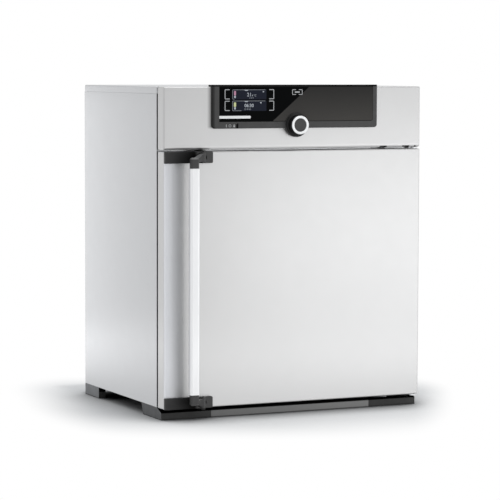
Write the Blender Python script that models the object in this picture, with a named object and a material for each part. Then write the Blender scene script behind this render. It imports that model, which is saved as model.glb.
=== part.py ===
"""Bench-top refrigerated incubator with an outer door, an inner glass door and wire shelves.

Metres, +Z up. The origin is at the middle of the footprint, on the floor. The door faces -Y.
"""
import math

import bmesh
import bpy
from mathutils import Matrix, Vector

# Overall size
WIDTH = 0.745
OVERALL_HEIGHT = 0.864
OVERALL_DEPTH = 0.584
HANDLE_REACH = 0.056
FRONT = -(OVERALL_DEPTH - HANDLE_REACH) / 2
SIDE = WIDTH / 2

# Sheet metal and clearances
GAP = 0.0003
SHEET = 0.0015
RETURN = 0.014
SHEET_BEND = 0.003

# Body shell
FOOT_HEIGHT = 0.031
HOOD_RISE = 0.005
COVER_TOP = OVERALL_HEIGHT - HOOD_RISE
COVER_SKIRT = 0.018
SHELL_TOP = COVER_TOP - COVER_SKIRT - GAP
DOOR_THICKNESS = 0.038
FRONT_SEAM = 0.009
BODY_FRONT = FRONT + DOOR_THICKNESS + FRONT_SEAM
HOUSING_DEPTH = 0.024
BODY_BACK = FRONT + OVERALL_DEPTH - HOUSING_DEPTH
SHELL_INSIDE = SIDE - SHEET - GAP

# Outer door and header
DOOR_BOTTOM = 0.030
HEADER_HEIGHT = 0.1615
HEADER_BOTTOM = COVER_TOP - HEADER_HEIGHT
HEADER_GAP = 0.0045
DOOR_TOP = HEADER_BOTTOM - HEADER_GAP
DOOR_HEIGHT = DOOR_TOP - DOOR_BOTTOM
HEADER_FOLD = 0.009
HEADER_FOLD_DEPTH = 0.005
FOLD_STEPS = 4
CARRIER_WALL = 0.020
CARRIER_LIP = 0.012
CARRIER_LAP = 0.0015
CARRIER_SIDE_INSET = 0.022
CARRIER_LOW_INSET = 0.0345
CARRIER_TOP_INSET = 0.024
DOOR_MIDDLE = (DOOR_BOTTOM + DOOR_TOP) / 2
DOOR_BACK = FRONT + DOOR_THICKNESS
HINGE_INSET = 0.012
HINGE_X = SIDE - HINGE_INSET
HINGE_Y = FRONT + HINGE_INSET
HINGE_PIN_RADIUS = 0.0045
HINGE_PIN_LENGTH = 0.014
HINGE_PLATE = 0.003
HINGE_PLATE_GAP = 0.001
HINGE_FLANGE = 0.004
HINGE_FLANGE_HEIGHT = 0.034
HINGE_TOP_LENGTH = 0.115
HINGE_BOTTOM_LENGTH = 0.031
HINGE_CUTOUT_WIDTH = 0.0215
HINGE_CUTOUT_PITCH = 0.068
HINGE_CUTOUT_RISE = 0.004
HINGE_CUTOUT_DEPTH = 0.018
PIN_CUTOUT_WIDTH = 0.005

# Chamber
CHAMBER_SIDE_WALL = 0.0925
CHAMBER_MARGIN = 0.0915
CHAMBER_WIDTH = WIDTH - 2 * CHAMBER_SIDE_WALL
CHAMBER_HEIGHT = DOOR_HEIGHT - 2 * CHAMBER_MARGIN
CHAMBER_HALF = CHAMBER_WIDTH / 2
CHAMBER_BOTTOM = DOOR_MIDDLE - CHAMBER_HEIGHT / 2
CHAMBER_TOP = DOOR_MIDDLE + CHAMBER_HEIGHT / 2
REAR_WALL = 0.0691
PLENUM = 0.028
RIB_DEPTH = 0.008
RIB_HEIGHT = 0.012
RIB_SLOPE = 0.003
RIB_COUNT = 5
RIB_START = 0.070
RIB_PITCH = (CHAMBER_HEIGHT - 2 * RIB_START) / (RIB_COUNT - 1)
INSULATION_ABOVE = 0.080
INSULATION_BEHIND = 0.027

# Glass door and the frame that holds it
GLASS = 0.005
GLASS_MARGIN = 0.024
GLASS_CLEARANCE = 0.008
GLASS_SETBACK = 0.0035
GLASS_SEAL = 0.005
GLASS_SEAL_WIDTH = 0.0045
GLASS_HALF = CHAMBER_HALF + GLASS_MARGIN
JAMB_HALF = GLASS_HALF + GLASS_CLEARANCE
GLASS_FRONT = BODY_FRONT + GLASS_SETBACK
FLANGE_FRONT = GLASS_FRONT + GLASS + GLASS_SEAL + 2 * GAP
LINER_FRONT = FLANGE_FRONT + SHEET + GAP
LINER_BACK = BODY_BACK - REAR_WALL
BAFFLE_FRONT = LINER_BACK - PLENUM
CHAMBER_DEPTH = BAFFLE_FRONT - LINER_FRONT
GLASS_RAIL_WIDTH = 0.017
GLASS_RAIL_WALL = 0.0015
GLASS_PIN_RADIUS = 0.0025
GLASS_PIN_INSET = 0.005
GLASS_AXIS_X = GLASS_HALF + GAP + GLASS_RAIL_WALL - GLASS_PIN_INSET
GLASS_AXIS_Y = GLASS_FRONT + GLASS / 2
CATCH_RADIUS = 0.009
CATCH_DEPTH = 0.008
CATCH_INSET = 0.020

# Shelves
SHELF_SIDE_GAP = 0.004
SHELF_SETBACK = 0.020
SHELF_BACK_GAP = 0.005
SHELF_DEPTH = CHAMBER_DEPTH - SHELF_SETBACK - SHELF_BACK_GAP
SHELF_ROD = 0.0028
SHELF_WIRE = 0.0016
SHELF_WIRES = 17
SHELF_CORNER = 0.010

# Door inner parts
GASKET_MARGIN = 0.005
GASKET_WIDTH = 0.016
PANEL_EMBOSS = 0.004
PANEL_EMBOSS_MARGIN = 0.030
PANEL_EMBOSS_CORNER = 0.030

# Handle
BRACKET_LENGTH = 0.134
BRACKET_HEIGHT = 0.0295
BRACKET_DEPTH = 0.0095
BRACKET_LUG = 0.0035
BRACKET_CORNER = 0.003
PIVOT_FROM_EDGE = 0.106
PIVOT_X = -SIDE + PIVOT_FROM_EDGE
PIVOT_Y = FRONT - BRACKET_DEPTH
PIVOT_RADIUS = 0.003
HUB_RADIUS = 0.007
HUB_CLEARANCE = 0.0005
POCKET_LEFT = 0.013
BAR_WIDTH = 0.027
BAR_DEPTH = 0.019
BAR_CORNER = 0.006
BAR_FROM_EDGE = 0.065
BAR_X = -SIDE + BAR_FROM_EDGE
BAR_Y = FRONT - HANDLE_REACH + BAR_DEPTH / 2
CAP_HEIGHT = 0.0275
CAP_DROP = 0.0135
CAP_BEVEL = 0.004
CAP_INSET = 0.0020
CAP_TOP_INSET = 0.0060
NOTCH_WIDTH = 0.0030
NOTCH_HEIGHT = 0.0080
ARM_HUB_HALF = 0.005
ARM_CAP_HALF = 0.0075
LATCH_PLATE = 0.003
LATCH_LIFT = 0.001
LATCH_HALF = 0.006
LATCH_TIP_GAP = 0.006
STRIKER_SIDE_GAP = 0.0006
STRIKER_WIDTH = 0.014
STRIKER_REACH = 0.014
STRIKER_ROLLER = 0.004

# Cockpit
COCKPIT_WIDTH = 0.480
COCKPIT_HEIGHT = 0.108
COCKPIT_BOTTOM = COVER_TOP - COCKPIT_HEIGHT
COCKPIT_DEPTH = 0.008
COCKPIT_CORNER = 0.008
COCKPIT_SIDE_EDGE = 0.007
COCKPIT_LOW_EDGE = 0.002
COCKPIT_WALL = 0.001
HOOD_DEPTH = 0.018
GLASS_PANEL_LEFT = -0.221
GLASS_PANEL_RIGHT = 0.2255
GLASS_PANEL_SILL = 0.0175
GLASS_PANEL_BOTTOM = COCKPIT_BOTTOM + GLASS_PANEL_SILL
GLASS_PANEL_RIM = 0.003
GLASS_PANEL_THICKNESS = 0.003
GLASS_PANEL_SETBACK = 0.0008
GLASS_PANEL_CORNER = 0.005
DISPLAY_LEFT = -0.190
DISPLAY_RIGHT = -0.080
DISPLAY_HEIGHT = 0.064
DISPLAY_TOP = COVER_TOP - 0.003
DISPLAY_BOTTOM = DISPLAY_TOP - DISPLAY_HEIGHT
DISPLAY_DEPTH = 0.014
BOARD_LENGTH = 0.300
BOARD_THICKNESS = 0.0016

# Dial
DIAL_LIFT = 0.0085
DIAL_Z = COCKPIT_BOTTOM + DIAL_LIFT
BOSS_RADIUS = 0.0316
BOSS_DEPTH = 0.009
COLLAR_FRONT_RADIUS = 0.0265
COLLAR_DEPTH = 0.005
DIAL_RADIUS = 0.0240
DIAL_BORE = 0.0176
DIAL_REACH = 0.0330
RING_DEPTH = 0.0025
KEY_CLEARANCE = 0.0004
KEY_DEPTH = 0.012
KEY_TRAVEL = 0.0015
DIAL_SHAFT_RADIUS = 0.003
DIAL_SEGMENTS = 40

# Main switch
SWITCH_X = -0.170
SWITCH_LIFT = 0.007
SWITCH_Z = COCKPIT_BOTTOM + SWITCH_LIFT
SWITCH_WIDTH = 0.0058
SWITCH_HEIGHT = 0.0112
SWITCH_CLEARANCE = 0.0008
SWITCH_TILT = math.radians(7)

# Feet
TOE_HEIGHT = 0.0195
TOE_SETBACK = 0.0176
FOOT_LEG_WIDTH = 0.020
FRONT_FOOT_WIDTH = 0.141
FRONT_FOOT_LENGTH = 0.133
FRONT_FOOT_RAKE = 0.011
FOOT_LIP = 0.003
FOOT_LIP_REACH = 0.0008
REAR_FOOT_LENGTH = 0.102
FOOT_CHAMFER = 0.0015

# Cooling unit and rear fans
FAN_SIZE = 0.120
FAN_SPACING = 0.170
FAN_DEPTH = 0.0195
FAN_BORE = 0.056
FAN_HUB = 0.019
FAN_CLEARANCE = 0.003
FAN_BLADES = 7
HOUSING_MARGIN = 0.022
GRILLE_SLOT = 0.0038
GRILLE_PITCH = 0.0090
GRILLE_RINGS = 4
GRILLE_SPOKES = 4
SINK_WIDTH = 0.300
SINK_HEIGHT = 0.130
SINK_BASE = 0.006
FIN_THICKNESS = 0.002
FIN_PITCH = 0.012
HOT_SINK_DEPTH = 0.036
COLD_SINK_DEPTH = 0.020
COLD_SINK_WIDTH = 0.240
COLD_SINK_HEIGHT = 0.110
PELTIER_WIDTH = 0.200
PELTIER_HEIGHT = 0.060
COOLER_LIFT = 0.060
INNER_FAN_DROP = 0.130
INNER_FAN_RADIUS = 0.045
INNER_FAN_DEPTH = 0.013
MOTOR_RADIUS = 0.016
MOTOR_DEPTH = 0.008
MOTOR_SHAFT_RADIUS = 0.002
SENSOR_RADIUS = 0.003
SENSOR_LENGTH = 0.028
SENSOR_FROM_SIDE = 0.080
SENSOR_X = CHAMBER_HALF - SENSOR_FROM_SIDE
SENSOR_BELOW_TOP = 0.030

# Mains inlet
INLET_WIDTH = 0.028
INLET_HEIGHT = 0.021
INLET_DEPTH = 0.016
INLET_WALL = 0.002
INLET_FLANGE = 0.004
INLET_FROM_SIDE = 0.0725
INLET_X = -SIDE + INLET_FROM_SIDE
INLET_Z = 0.090

bpy_objects = bpy.data.objects
for old in list(bpy_objects):
    bpy_objects.remove(old, do_unlink=True)

MATERIALS = {}
PIVOTS = {}


def material(name, colour, roughness, metallic=0.0, alpha=1.0):
    """A Principled material, made once for each name."""
    if name not in MATERIALS:
        made = bpy.data.materials.new(name)
        made.use_nodes = True
        shader = made.node_tree.nodes["Principled BSDF"]
        shader.inputs["Base Color"].default_value = (*colour, 1.0)
        shader.inputs["Roughness"].default_value = roughness
        shader.inputs["Metallic"].default_value = metallic
        shader.inputs["Alpha"].default_value = alpha
        MATERIALS[name] = made
    return MATERIALS[name]


def steel():
    return material("textured_steel", (0.62, 0.63, 0.64), 0.42, 0.85)


def bright_steel():
    return material("bright_steel", (0.70, 0.71, 0.72), 0.28, 1.0)


def dark_plastic():
    return material("dark_plastic", (0.060, 0.060, 0.062), 0.55)


def black_plastic():
    return material("black_plastic", (0.012, 0.012, 0.013), 0.35)


def dark_steel():
    return material("blackened_steel", (0.05, 0.05, 0.055), 0.45, 0.8)


def rubber():
    return material("seal_rubber", (0.10, 0.10, 0.11), 0.80)


def aluminium():
    return material("aluminium", (0.80, 0.80, 0.81), 0.32, 0.9)


def pivot(name, place, parent=None):
    """An empty on a joint's axis. Its children turn or slide with it."""
    empty = bpy_objects.new(name, None)
    empty.empty_display_size = 0.03
    bpy.context.scene.collection.objects.link(empty)
    base = Vector((0, 0, 0))
    if parent is not None:
        empty.parent = PIVOTS[parent][0]
        base = PIVOTS[parent][1]
    world = Vector(place)
    empty.location = world - base
    PIVOTS[name] = (empty, world)


def place(name, shape, finish, on=None, smooth=30.0):
    """Turn a bmesh in world coordinates into a named object, on a pivot or on the body."""
    bmesh.ops.recalc_face_normals(shape, faces=shape.faces)
    origin = Vector((0, 0, 0))
    parent = None
    if on is not None:
        parent, origin = PIVOTS[on]
        bmesh.ops.translate(shape, verts=shape.verts, vec=-origin)
    mesh = bpy.data.meshes.new(name)
    shape.to_mesh(mesh)
    shape.free()
    mesh.materials.append(finish)
    mesh.shade_smooth()
    mesh.set_sharp_from_angle(angle=math.radians(smooth))
    piece = bpy_objects.new(name, mesh)
    piece.parent = parent
    bpy.context.scene.collection.objects.link(piece)
    return piece


def combine(piece, shape, operation):
    """Cut a shape out of a piece, or unite it with the piece."""
    bmesh.ops.recalc_face_normals(shape, faces=shape.faces)
    count = len(piece.modifiers)
    mesh = bpy.data.meshes.new(piece.name + "_tool")
    shape.to_mesh(mesh)
    shape.free()
    tool = bpy_objects.new(f"{piece.name}_tool_{count}", mesh)
    tool.hide_render = True
    tool.display_type = "WIRE"
    bpy.context.scene.collection.objects.link(tool)
    step = piece.modifiers.new(f"step_{count}", "BOOLEAN")
    step.operation = operation
    step.solver = "EXACT"
    step.object = tool


def cut(piece, shape):
    combine(piece, shape, "DIFFERENCE")


def unite(piece, shape):
    combine(piece, shape, "UNION")


def on_plane(plane, first, second, level):
    """A point from two coordinates in a plane and its level along the plane's normal."""
    if plane == "XZ":
        return Vector((first, level, second))
    if plane == "XY":
        return Vector((first, second, level))
    return Vector((level, first, second))


def rounded(low, high, corners, steps=3):
    """Outline of a rectangle whose corners have their own radii, from the low corner round."""
    centres = (
        (low[0], low[1], 1, 1, 180),
        (high[0], low[1], -1, 1, 270),
        (high[0], high[1], -1, -1, 0),
        (low[0], high[1], 1, -1, 90),
    )
    outline = []
    for (x, z, to_x, to_z, start), radius in zip(centres, corners):
        for step in range(steps + 1):
            angle = math.radians(start + 90 * step / steps)
            outline.append((x + to_x * radius + radius * math.cos(angle),
                            z + to_z * radius + radius * math.sin(angle)))
    return outline


def rectangle(low, high):
    return [(low[0], low[1]), (high[0], low[1]), (high[0], high[1]), (low[0], high[1])]


def circle(centre, radius, segments):
    turn = 2 * math.pi / segments
    return [(centre[0] + radius * math.cos(turn * k), centre[1] + radius * math.sin(turn * k))
            for k in range(segments)]


def loft(plane, rings, closed=False, shape=None):
    """A skin through rings of points. Open lofts are capped, closed ones form a frame."""
    shape = shape or bmesh.new()
    loops = []
    for outline, level in rings:
        loops.append([shape.verts.new(on_plane(plane, a, b, level)) for a, b in outline])
    pairs = list(zip(loops, loops[1:]))
    if closed:
        pairs.append((loops[-1], loops[0]))
    for first, second in pairs:
        count = len(first)
        for k in range(count):
            after = (k + 1) % count
            shape.faces.new((first[k], first[after], second[after], second[k]))
    if not closed:
        shape.faces.new(loops[0])
        shape.faces.new(loops[-1])
    return shape


def prism(plane, outline, start, end, shape=None):
    return loft(plane, [(outline, start), (outline, end)], shape=shape)


def block(low, high, shape=None):
    return prism("XY", rectangle(low[:2], high[:2]), low[2], high[2], shape)


def turned(plane, centre, profile, segments=24, shape=None):
    """A solid of revolution from (radius, level) pairs along the plane's normal."""
    rings = [(circle(centre, radius, segments), level) for radius, level in profile]
    return loft(plane, rings, shape=shape)


def tray(plane, low, high, rim, face, wall, corner, edge, steps=3):
    """A folded sheet tray: a flat face, rounded folds and walls that run back to the rim."""
    way = 1 if face > rim else -1

    def ring(inset, level, radius):
        bound = max(radius - inset, 0.0004)
        near = (low[0] + inset, low[1] + inset)
        far = (high[0] - inset, high[1] - inset)
        return rounded(near, far, (bound,) * 4, 2), level

    rings = [ring(wall, face - way * wall, corner), ring(wall, rim, corner), ring(0, rim, corner)]
    for step in range(steps + 1):
        angle = math.radians(90 * step / steps)
        inset = edge * (1 - math.cos(angle))
        rings.append(ring(inset, face - way * edge * (1 - math.sin(angle)), corner))
    return loft(plane, rings)


def side_panel(name, side):
    """Side sheet with a return fold that the rear panel screws to."""
    outer = SIDE
    inner = SIDE - SHEET
    fold_back = BODY_BACK - SHEET - GAP
    outline = [
        (outer, BODY_FRONT), (outer, BODY_BACK), (inner, BODY_BACK), (inner, fold_back),
        (inner - RETURN, fold_back), (inner - RETURN, fold_back - SHEET),
        (inner, fold_back - SHEET), (inner, BODY_FRONT),
    ]
    place(name, prism("XY", [(side * x, y) for x, y in outline], FOOT_HEIGHT, SHELL_TOP), steel())


def body_shell():
    side_panel("side_panel_left", -1)
    side_panel("side_panel_right", 1)
    cover = tray("XY", (-SIDE, BODY_FRONT), (SIDE, BODY_BACK), COVER_TOP - COVER_SKIRT, COVER_TOP,
                 SHEET, SHEET_BEND, SHEET_BEND)
    place("top_cover", cover, steel())
    pan_front = LINER_FRONT
    pan_back = BODY_BACK - 2 * SHEET - 2 * GAP
    pan = tray("XY", (-SHELL_INSIDE, pan_front), (SHELL_INSIDE, pan_back), FOOT_HEIGHT + RETURN,
               FOOT_HEIGHT, SHEET, SHEET_BEND, SHEET_BEND)
    place("base_pan", pan, steel())


def front_frame():
    """Body front: outer fold, face, jamb round the glass door and the flange behind it."""
    low_z = FOOT_HEIGHT
    jamb_low = CHAMBER_BOTTOM - GLASS_MARGIN - GLASS_CLEARANCE
    jamb_high = CHAMBER_TOP + GLASS_MARGIN + GLASS_CLEARANCE
    back = FLANGE_FRONT + SHEET

    def shell(inset):
        return rectangle((-SHELL_INSIDE + inset, low_z + inset), (SHELL_INSIDE - inset, SHELL_TOP - inset))

    def jamb(grow):
        return rectangle((-JAMB_HALF - grow, jamb_low - grow), (JAMB_HALF + grow, jamb_high + grow))

    mouth = rectangle((-CHAMBER_HALF, CHAMBER_BOTTOM), (CHAMBER_HALF, CHAMBER_TOP))
    rings = [
        (shell(0), back), (shell(0), BODY_FRONT), (jamb(0), BODY_FRONT), (jamb(0), FLANGE_FRONT),
        (mouth, FLANGE_FRONT), (mouth, back), (jamb(SHEET), back), (jamb(SHEET), BODY_FRONT + SHEET),
        (shell(SHEET), BODY_FRONT + SHEET), (shell(SHEET), back),
    ]
    frame = place("front_frame", loft("XZ", rings, closed=True), steel())
    for level in (jamb_low, jamb_high):
        hole = turned("XY", (GLASS_AXIS_X, GLASS_AXIS_Y),
                      [(GLASS_PIN_RADIUS + GAP, level - 2 * SHEET),
                       (GLASS_PIN_RADIUS + GAP, level + 2 * SHEET)], 12)
        cut(frame, hole)


def rib_levels():
    return [CHAMBER_BOTTOM + RIB_START + RIB_PITCH * k for k in range(RIB_COUNT)]


def liner_outline(grow):
    """Chamber cross-section with pressed ribs on both side walls, grown by a sheet's thickness."""
    half = CHAMBER_HALF + grow
    bottom = CHAMBER_BOTTOM - grow
    top = CHAMBER_TOP + grow
    wall = [(half, bottom)]
    for level in rib_levels():
        wall += [
            (half, level + grow), (half - RIB_DEPTH, level + RIB_SLOPE + grow),
            (half - RIB_DEPTH, level + RIB_HEIGHT - grow), (half, level + RIB_HEIGHT - grow),
        ]
    wall.append((half, top))
    return wall + [(-x, z) for x, z in reversed(wall)]


def chamber():
    inner = liner_outline(0.0)
    outer = liner_outline(SHEET)
    rings = [(inner, LINER_BACK), (inner, LINER_FRONT), (outer, LINER_FRONT), (outer, LINER_BACK + SHEET)]
    place("chamber_liner", loft("XZ", rings), bright_steel(), smooth=20.0)
    wool()
    baffle()


def cooler_middle():
    return DOOR_MIDDLE + COOLER_LIFT


def insulation_back():
    return LINER_BACK + SHEET + GAP + INSULATION_BEHIND


def wool():
    """Mineral wool block round the chamber, with a window for the thermoelectric modules."""
    clear = SHEET + GAP
    half = SHELL_INSIDE - SHEET - 2 * GAP
    front = LINER_FRONT + SHEET + 2 * GAP
    cavity = rectangle((-CHAMBER_HALF - clear, CHAMBER_BOTTOM - clear),
                       (CHAMBER_HALF + clear, CHAMBER_TOP + clear))
    outside = rectangle((-half, FOOT_HEIGHT + SHEET + GAP), (half, CHAMBER_TOP + INSULATION_ABOVE))
    rings = [(cavity, LINER_BACK + clear), (cavity, front), (outside, front), (outside, insulation_back())]
    block_of_wool = place("chamber_insulation", loft("XZ", rings),
                          material("mineral_wool", (0.62, 0.55, 0.36), 0.95))
    middle = cooler_middle()
    half_w = PELTIER_WIDTH / 2 + GAP
    half_h = PELTIER_HEIGHT / 2 + GAP
    cut(block_of_wool, block((-half_w, LINER_BACK, middle - half_h),
                             (half_w, insulation_back() + PLENUM, middle + half_h)))


def baffle():
    """Rear air guide: two columns of outlet slots and a round intake over the fan."""
    half = CHAMBER_HALF - RIB_DEPTH - GAP
    low = (-half, CHAMBER_BOTTOM + GAP)
    high = (half, CHAMBER_TOP - GAP)
    panel = place("air_baffle", tray("XZ", low, high, LINER_BACK - GAP, BAFFLE_FRONT, SHEET,
                                     SHEET_BEND, SHEET_BEND, 2),
                  bright_steel())
    slot = 0.0038
    slot_length = 0.070
    slot_pitch = 0.036
    slot_count = 9
    column = half - 0.060
    slots = bmesh.new()
    for side in (-1, 1):
        for k in range(slot_count):
            z = DOOR_MIDDLE + slot_pitch * (k - (slot_count - 1) / 2)
            block((side * column - slot_length / 2, BAFFLE_FRONT - SHEET, z - slot / 2),
                  (side * column + slot_length / 2, BAFFLE_FRONT + 2 * SHEET, z + slot / 2), slots)
    intake_z = cooler_middle() - INNER_FAN_DROP
    intake_slots = 9
    intake_pitch = 2 * INNER_FAN_RADIUS / intake_slots
    for k in range(intake_slots):
        x = intake_pitch * (k - (intake_slots - 1) / 2)
        reach = math.sqrt(INNER_FAN_RADIUS ** 2 - x ** 2)
        block((x - slot / 2, BAFFLE_FRONT - SHEET, intake_z - reach),
              (x + slot / 2, BAFFLE_FRONT + 2 * SHEET, intake_z + reach), slots)
    cut(panel, slots)


def header():
    """Header panel with a round lower fold, and the carrier that holds it off the body."""

    def ring(side, low, level, corner=SHEET_BEND):
        bound = (max(corner - side, 0.0004),) * 4
        high = (SIDE - side, COVER_TOP - side)
        return rounded((-SIDE + side, HEADER_BOTTOM + low), high, bound, 2), level

    def bent(inner, angle):
        """Cross-section of the bend, from the flat face at 90 degrees to the flanges at 0."""
        side = inner + (SHEET_BEND - inner) * (1 - math.cos(angle))
        low = inner + (HEADER_FOLD - inner) * (1 - math.cos(angle))
        depth = inner + (HEADER_FOLD_DEPTH - inner) * (1 - math.sin(angle))
        return ring(side, low, FRONT + depth)

    turns = [math.radians(90 * step / FOLD_STEPS) for step in range(FOLD_STEPS + 1)]
    rings = [bent(SHEET, angle) for angle in reversed(turns)]
    rings += [ring(SHEET, SHEET, DOOR_BACK), ring(0, 0, DOOR_BACK)]
    rings += [bent(0, angle) for angle in turns]
    panel = place("header_panel", loft("XZ", rings), steel())
    cut(panel, block((DISPLAY_LEFT - GAP, FRONT - SHEET, DISPLAY_BOTTOM - GAP),
                     (DISPLAY_RIGHT + GAP, FRONT + HEADER_FOLD_DEPTH, DISPLAY_TOP + GAP)))
    strap = HINGE_X + HINGE_INSET / 2 - HINGE_TOP_LENGTH
    for left, width in ((strap, HINGE_CUTOUT_WIDTH), (strap + HINGE_CUTOUT_PITCH, HINGE_CUTOUT_WIDTH),
                        (HINGE_X - PIN_CUTOUT_WIDTH, PIN_CUTOUT_WIDTH)):
        cut(panel, block((left, FRONT - SHEET, HEADER_BOTTOM - SHEET),
                         (left + width, FRONT + HINGE_CUTOUT_DEPTH, HEADER_BOTTOM + HINGE_CUTOUT_RISE)))
    inset = SHEET + 2 * GAP
    rear = BODY_FRONT - GAP
    lap = CARRIER_LAP

    def carrier(side, low, high, level):
        return rectangle((-SIDE + side, HEADER_BOTTOM + low), (SIDE - side, COVER_TOP - high)), level

    wall = CARRIER_WALL
    outer = (CARRIER_SIDE_INSET, CARRIER_LOW_INSET, CARRIER_TOP_INSET)
    hollow = [value + wall for value in outer]
    front = DOOR_BACK - CARRIER_LIP
    rings = [
        carrier(inset, inset, inset, front), carrier(inset, inset, inset, DOOR_BACK + GAP),
        carrier(0, 0, 0, DOOR_BACK + GAP), carrier(0, 0, 0, DOOR_BACK + GAP + lap),
        carrier(*outer, DOOR_BACK + GAP + lap), carrier(*outer, rear), carrier(*hollow, rear),
        carrier(*hollow, front),
    ]
    place("header_carrier", loft("XZ", rings, closed=True), dark_plastic())


def cockpit():
    half = COCKPIT_WIDTH / 2
    back = FRONT - GAP
    face = FRONT - COCKPIT_DEPTH
    top_corner = 0.0015

    def ring(share, level):
        inset = COCKPIT_SIDE_EDGE * share
        rise = COCKPIT_LOW_EDGE * share
        corners = (COCKPIT_CORNER - rise, COCKPIT_CORNER - rise, top_corner, top_corner)
        low = (-half + inset, COCKPIT_BOTTOM + rise)
        return rounded(low, (half - inset, OVERALL_HEIGHT - rise / 4), corners), level

    rings = [ring(0, back)]
    steps = 3
    edge_depth = COCKPIT_DEPTH - COCKPIT_WALL
    for step in range(steps + 1):
        angle = math.radians(90 * step / steps)
        rings.append(ring(1 - math.cos(angle), face + edge_depth * (1 - math.sin(angle))))
    frame = place("cockpit_frame", loft("XZ", rings), dark_plastic())
    unite(frame, block((-half, face + edge_depth - GAP, COVER_TOP + GAP),
                       (half, FRONT + HOOD_DEPTH, OVERALL_HEIGHT - GAP)))
    boss = turned("XZ", (0, DIAL_Z), [(BOSS_RADIUS, back), (BOSS_RADIUS, FRONT - BOSS_DEPTH)],
                  DIAL_SEGMENTS)
    glass_face = face + GLASS_PANEL_SETBACK
    glass_back = glass_face + GLASS_PANEL_THICKNESS
    glass_top = OVERALL_HEIGHT - GLASS_PANEL_RIM
    corners = (GLASS_PANEL_CORNER / 3, GLASS_PANEL_CORNER, 0.001, 0.001)

    def panel_outline(grow):
        low = (GLASS_PANEL_LEFT - grow, GLASS_PANEL_BOTTOM - grow)
        return rounded(low, (GLASS_PANEL_RIGHT + grow, glass_top + grow), corners, 2)

    cut(frame, prism("XZ", panel_outline(GAP), face - COCKPIT_DEPTH, glass_back + GAP))
    cut(frame, block((DISPLAY_LEFT - GAP, face, DISPLAY_BOTTOM - GAP),
                     (DISPLAY_RIGHT + GAP, FRONT, DISPLAY_TOP + GAP)))
    unite(frame, boss)
    cut(frame, turned("XZ", (0, DIAL_Z), [(DIAL_SHAFT_RADIUS + GAP, face - BOSS_DEPTH),
                                          (DIAL_SHAFT_RADIUS + GAP, FRONT)], 16))
    pocket_w = SWITCH_WIDTH / 2 + SWITCH_CLEARANCE / 2
    pocket_h = SWITCH_HEIGHT / 2 + SWITCH_CLEARANCE
    cut(frame, block((SWITCH_X - pocket_w, face - COCKPIT_DEPTH, SWITCH_Z - pocket_h),
                     (SWITCH_X + pocket_w, FRONT, SWITCH_Z + pocket_h)))
    glass = place("cockpit_glass", prism("XZ", panel_outline(0.0), glass_face, glass_back),
                  material("black_glass", (0.008, 0.008, 0.010), 0.08))
    cut(glass, turned("XZ", (0, DIAL_Z), [(BOSS_RADIUS + GAP, face - BOSS_DEPTH),
                                          (BOSS_RADIUS + GAP, FRONT)], DIAL_SEGMENTS))
    module_front = glass_back + GAP
    place("display_module", block((DISPLAY_LEFT, module_front, DISPLAY_BOTTOM),
                                  (DISPLAY_RIGHT, module_front + DISPLAY_DEPTH, DISPLAY_TOP)),
                                  black_plastic())
    board_front = module_front + DISPLAY_DEPTH + GAP
    place("control_board", block((DISPLAY_LEFT, board_front, DISPLAY_BOTTOM),
                                 (DISPLAY_LEFT + BOARD_LENGTH, board_front + BOARD_THICKNESS,
                                  DISPLAY_TOP)),
          material("circuit_board", (0.03, 0.18, 0.07), 0.5))


def dial():
    """Turn control: fixed collar, knob with a pale front ring, and the push key in its middle."""
    centre = (0, DIAL_Z)
    collar_back = FRONT - BOSS_DEPTH - GAP
    collar_face = collar_back - COLLAR_DEPTH
    bore = DIAL_SHAFT_RADIUS + GAP
    inner = circle(centre, bore, DIAL_SEGMENTS)
    wide = circle(centre, BOSS_RADIUS, DIAL_SEGMENTS)
    narrow = circle(centre, COLLAR_FRONT_RADIUS, DIAL_SEGMENTS)
    rings = [(inner, collar_back), (wide, collar_back), (wide, collar_back - COLLAR_DEPTH * 0.3),
             (narrow, collar_face), (inner, collar_face)]
    place("dial_collar", loft("XZ", rings, closed=True), black_plastic())
    pivot("dial_axis", (0, collar_face, DIAL_Z))
    knob_back = collar_face - GAP
    ring_back = FRONT - DIAL_REACH + RING_DEPTH
    floor = ring_back + KEY_DEPTH + KEY_TRAVEL + GAP
    shaft_end = FRONT - 2 * GAP
    profile = [
        (DIAL_SHAFT_RADIUS, shaft_end), (DIAL_SHAFT_RADIUS, knob_back), (DIAL_RADIUS, knob_back),
        (DIAL_RADIUS, ring_back + GAP), (DIAL_BORE, ring_back + GAP), (DIAL_BORE, floor),
    ]
    place("dial_knob", turned("XZ", centre, profile, DIAL_SEGMENTS), black_plastic(), "dial_axis")
    soft = RING_DEPTH * 0.4
    band = [
        (circle(centre, DIAL_BORE, DIAL_SEGMENTS), ring_back),
        (circle(centre, DIAL_RADIUS, DIAL_SEGMENTS), ring_back),
        (circle(centre, DIAL_RADIUS, DIAL_SEGMENTS), ring_back - RING_DEPTH + soft),
        (circle(centre, DIAL_RADIUS - soft, DIAL_SEGMENTS), ring_back - RING_DEPTH),
        (circle(centre, DIAL_BORE + soft, DIAL_SEGMENTS), ring_back - RING_DEPTH),
        (circle(centre, DIAL_BORE, DIAL_SEGMENTS), ring_back - RING_DEPTH + soft),
    ]
    place("dial_ring", loft("XZ", band, closed=True), material("pale_ring", (0.85, 0.85, 0.86), 0.35),
          "dial_axis")
    pivot("key_axis", (0, ring_back, DIAL_Z))
    key_radius = DIAL_BORE - KEY_CLEARANCE
    key_face = ring_back - soft
    key = [(key_radius, floor - KEY_TRAVEL - GAP), (key_radius, key_face + soft),
           (key_radius - soft, key_face)]
    place("dial_key", turned("XZ", centre, key, DIAL_SEGMENTS), dark_plastic(), "key_axis")


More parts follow.
